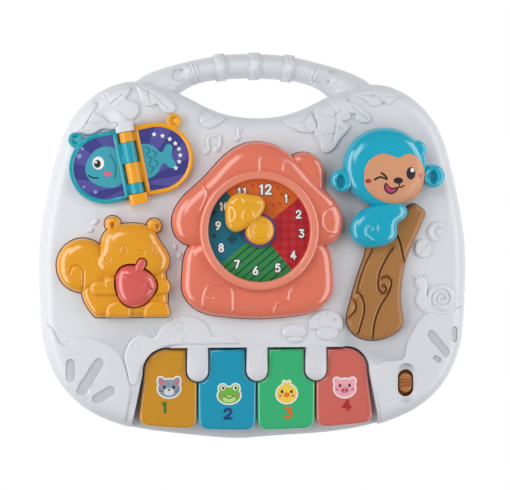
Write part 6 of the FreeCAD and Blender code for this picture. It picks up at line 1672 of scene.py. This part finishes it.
@dataclass(frozen=True)
class Studio:
    """Camera, lamps and backdrop.

    Args:
        distance: from the deck's middle to the camera, in millimetres.
        lean: degrees by which the camera stands to the left of straight above.
        view_width: millimetres across the picture at the deck.
        aim: deck point at the middle of the picture.
    """

    distance: float = 1200.0
    lean: float = 6.8
    view_width: float = 391.2
    aim: tuple = (-1.9, 0.0)

    def camera(self) -> bpy.types.Object:
        """The camera, up towards +Y."""
        data = bpy.data.cameras.new("camera")
        data.sensor_width = 36.0
        data.lens = 36.0 * self.distance / self.view_width
        data.clip_end = 20.0
        camera = bpy.data.objects.new("camera", data)
        bpy.context.scene.collection.objects.link(camera)
        turn = math.radians(self.lean)
        target = Vector((self.aim[0], self.aim[1] + CENTRING, DECK_Z))
        place = target + Vector((-math.sin(turn), 0.0, math.cos(turn))) * self.distance
        camera.location = place * MM
        camera.rotation_euler = (0.0, -turn, 0.0)
        bpy.context.scene.camera = camera
        return camera

    def lamp(self, name: str, place: Pair, size: tuple, power: float, aim: Pair = (0.0, 0.0, 240.0)) -> None:
        """A soft lamp, of a length and a height in millimetres, aimed at a point."""
        data = bpy.data.lights.new(name, "AREA")
        data.shape = "RECTANGLE"
        data.size, data.size_y = size[0] * MM, size[1] * MM
        data.energy = power
        lamp = bpy.data.objects.new(name, data)
        bpy.context.scene.collection.objects.link(lamp)
        lamp.location = Vector(place) * MM
        lamp.rotation_euler = (Vector(aim) - Vector(place)).to_track_quat("-Z", "Y").to_euler()

    def backdrop(self) -> None:
        """A pale floor that shows as white behind the table and keeps its shadow."""
        floor = Solid()
        floor.drape(np.array([[-6000.0, -6000.0], [6000.0, -6000.0], [6000.0, 6000.0], [-6000.0, 6000.0]]), 0.0, 0.0)
        mesh = floor.mesh("floor")
        material = bpy.data.materials.new("floor_paper")
        material.use_nodes = True
        nodes, links = material.node_tree.nodes, material.node_tree.links
        shader = nodes["Principled BSDF"]
        shader.inputs["Base Color"].default_value = (0.86, 0.86, 0.86, 1.0)
        shader.inputs["Roughness"].default_value = 0.9
        white = nodes.new("ShaderNodeEmission")
        white.inputs["Strength"].default_value = 1.0
        ray = nodes.new("ShaderNodeLightPath")
        seen = nodes.new("ShaderNodeMath")
        seen.operation = "MAXIMUM"
        links.new(ray.outputs["Is Camera Ray"], seen.inputs[0])
        links.new(ray.outputs["Is Glossy Ray"], seen.inputs[1])
        blend = nodes.new("ShaderNodeMixShader")
        links.new(seen.outputs["Value"], blend.inputs["Fac"])
        links.new(shader.outputs["BSDF"], blend.inputs[1])
        links.new(white.outputs["Emission"], blend.inputs[2])
        links.new(blend.outputs["Shader"], nodes["Material Output"].inputs["Surface"])
        mesh.materials.append(material)
        piece = bpy.data.objects.new("floor", mesh)
        bpy.context.scene.collection.objects.link(piece)

    def world(self) -> None:
        """Even pale light from all round, and white to the camera."""
        world = bpy.data.worlds.new("studio")
        bpy.context.scene.world = world
        world.use_nodes = True
        nodes, links = world.node_tree.nodes, world.node_tree.links
        soft = nodes["Background"]
        soft.inputs["Color"].default_value = (0.97, 0.98, 1.0, 1.0)
        soft.inputs["Strength"].default_value = 0.23
        white = nodes.new("ShaderNodeBackground")
        white.inputs["Strength"].default_value = 1.0
        ray = nodes.new("ShaderNodeLightPath")
        blend = nodes.new("ShaderNodeMixShader")
        links.new(ray.outputs["Is Camera Ray"], blend.inputs["Fac"])
        links.new(soft.outputs["Background"], blend.inputs[1])
        links.new(white.outputs["Background"], blend.inputs[2])
        links.new(blend.outputs["Shader"], nodes["World Output"].inputs["Surface"])

    def build(self) -> None:
        """Sets up everything but the object."""
        bpy.context.scene.view_settings.view_transform = "Standard"
        self.camera()
        self.world()
        self.backdrop()
        self.lamp("key_lamp", (-450.0, 550.0, 1150.0), (500.0, 500.0), 2.5)
        self.lamp("right_lamp", (700.0, 0.0, 640.0), (1300.0, 420.0), 4.9)
        self.lamp("left_lamp", (-700.0, 0.0, 640.0), (1300.0, 420.0), 5.5)
        log.info("studio ready")


def main() -> None:
    """Loads the frame and builds every piece and the studio."""
    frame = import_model()
    for node, (finish, body) in DRESS.items():
        dress(frame, node, finish, body)
    HouseClock().build(frame)
    Pointer().build()
    Tree().build()
    Monkey().build()
    Squirrel().build()
    FlipBook().build(frame)
    Stickers().build(frame)
    DeckReliefs().build(frame)
    Studio().build()


if __name__ == "__main__":
    main()
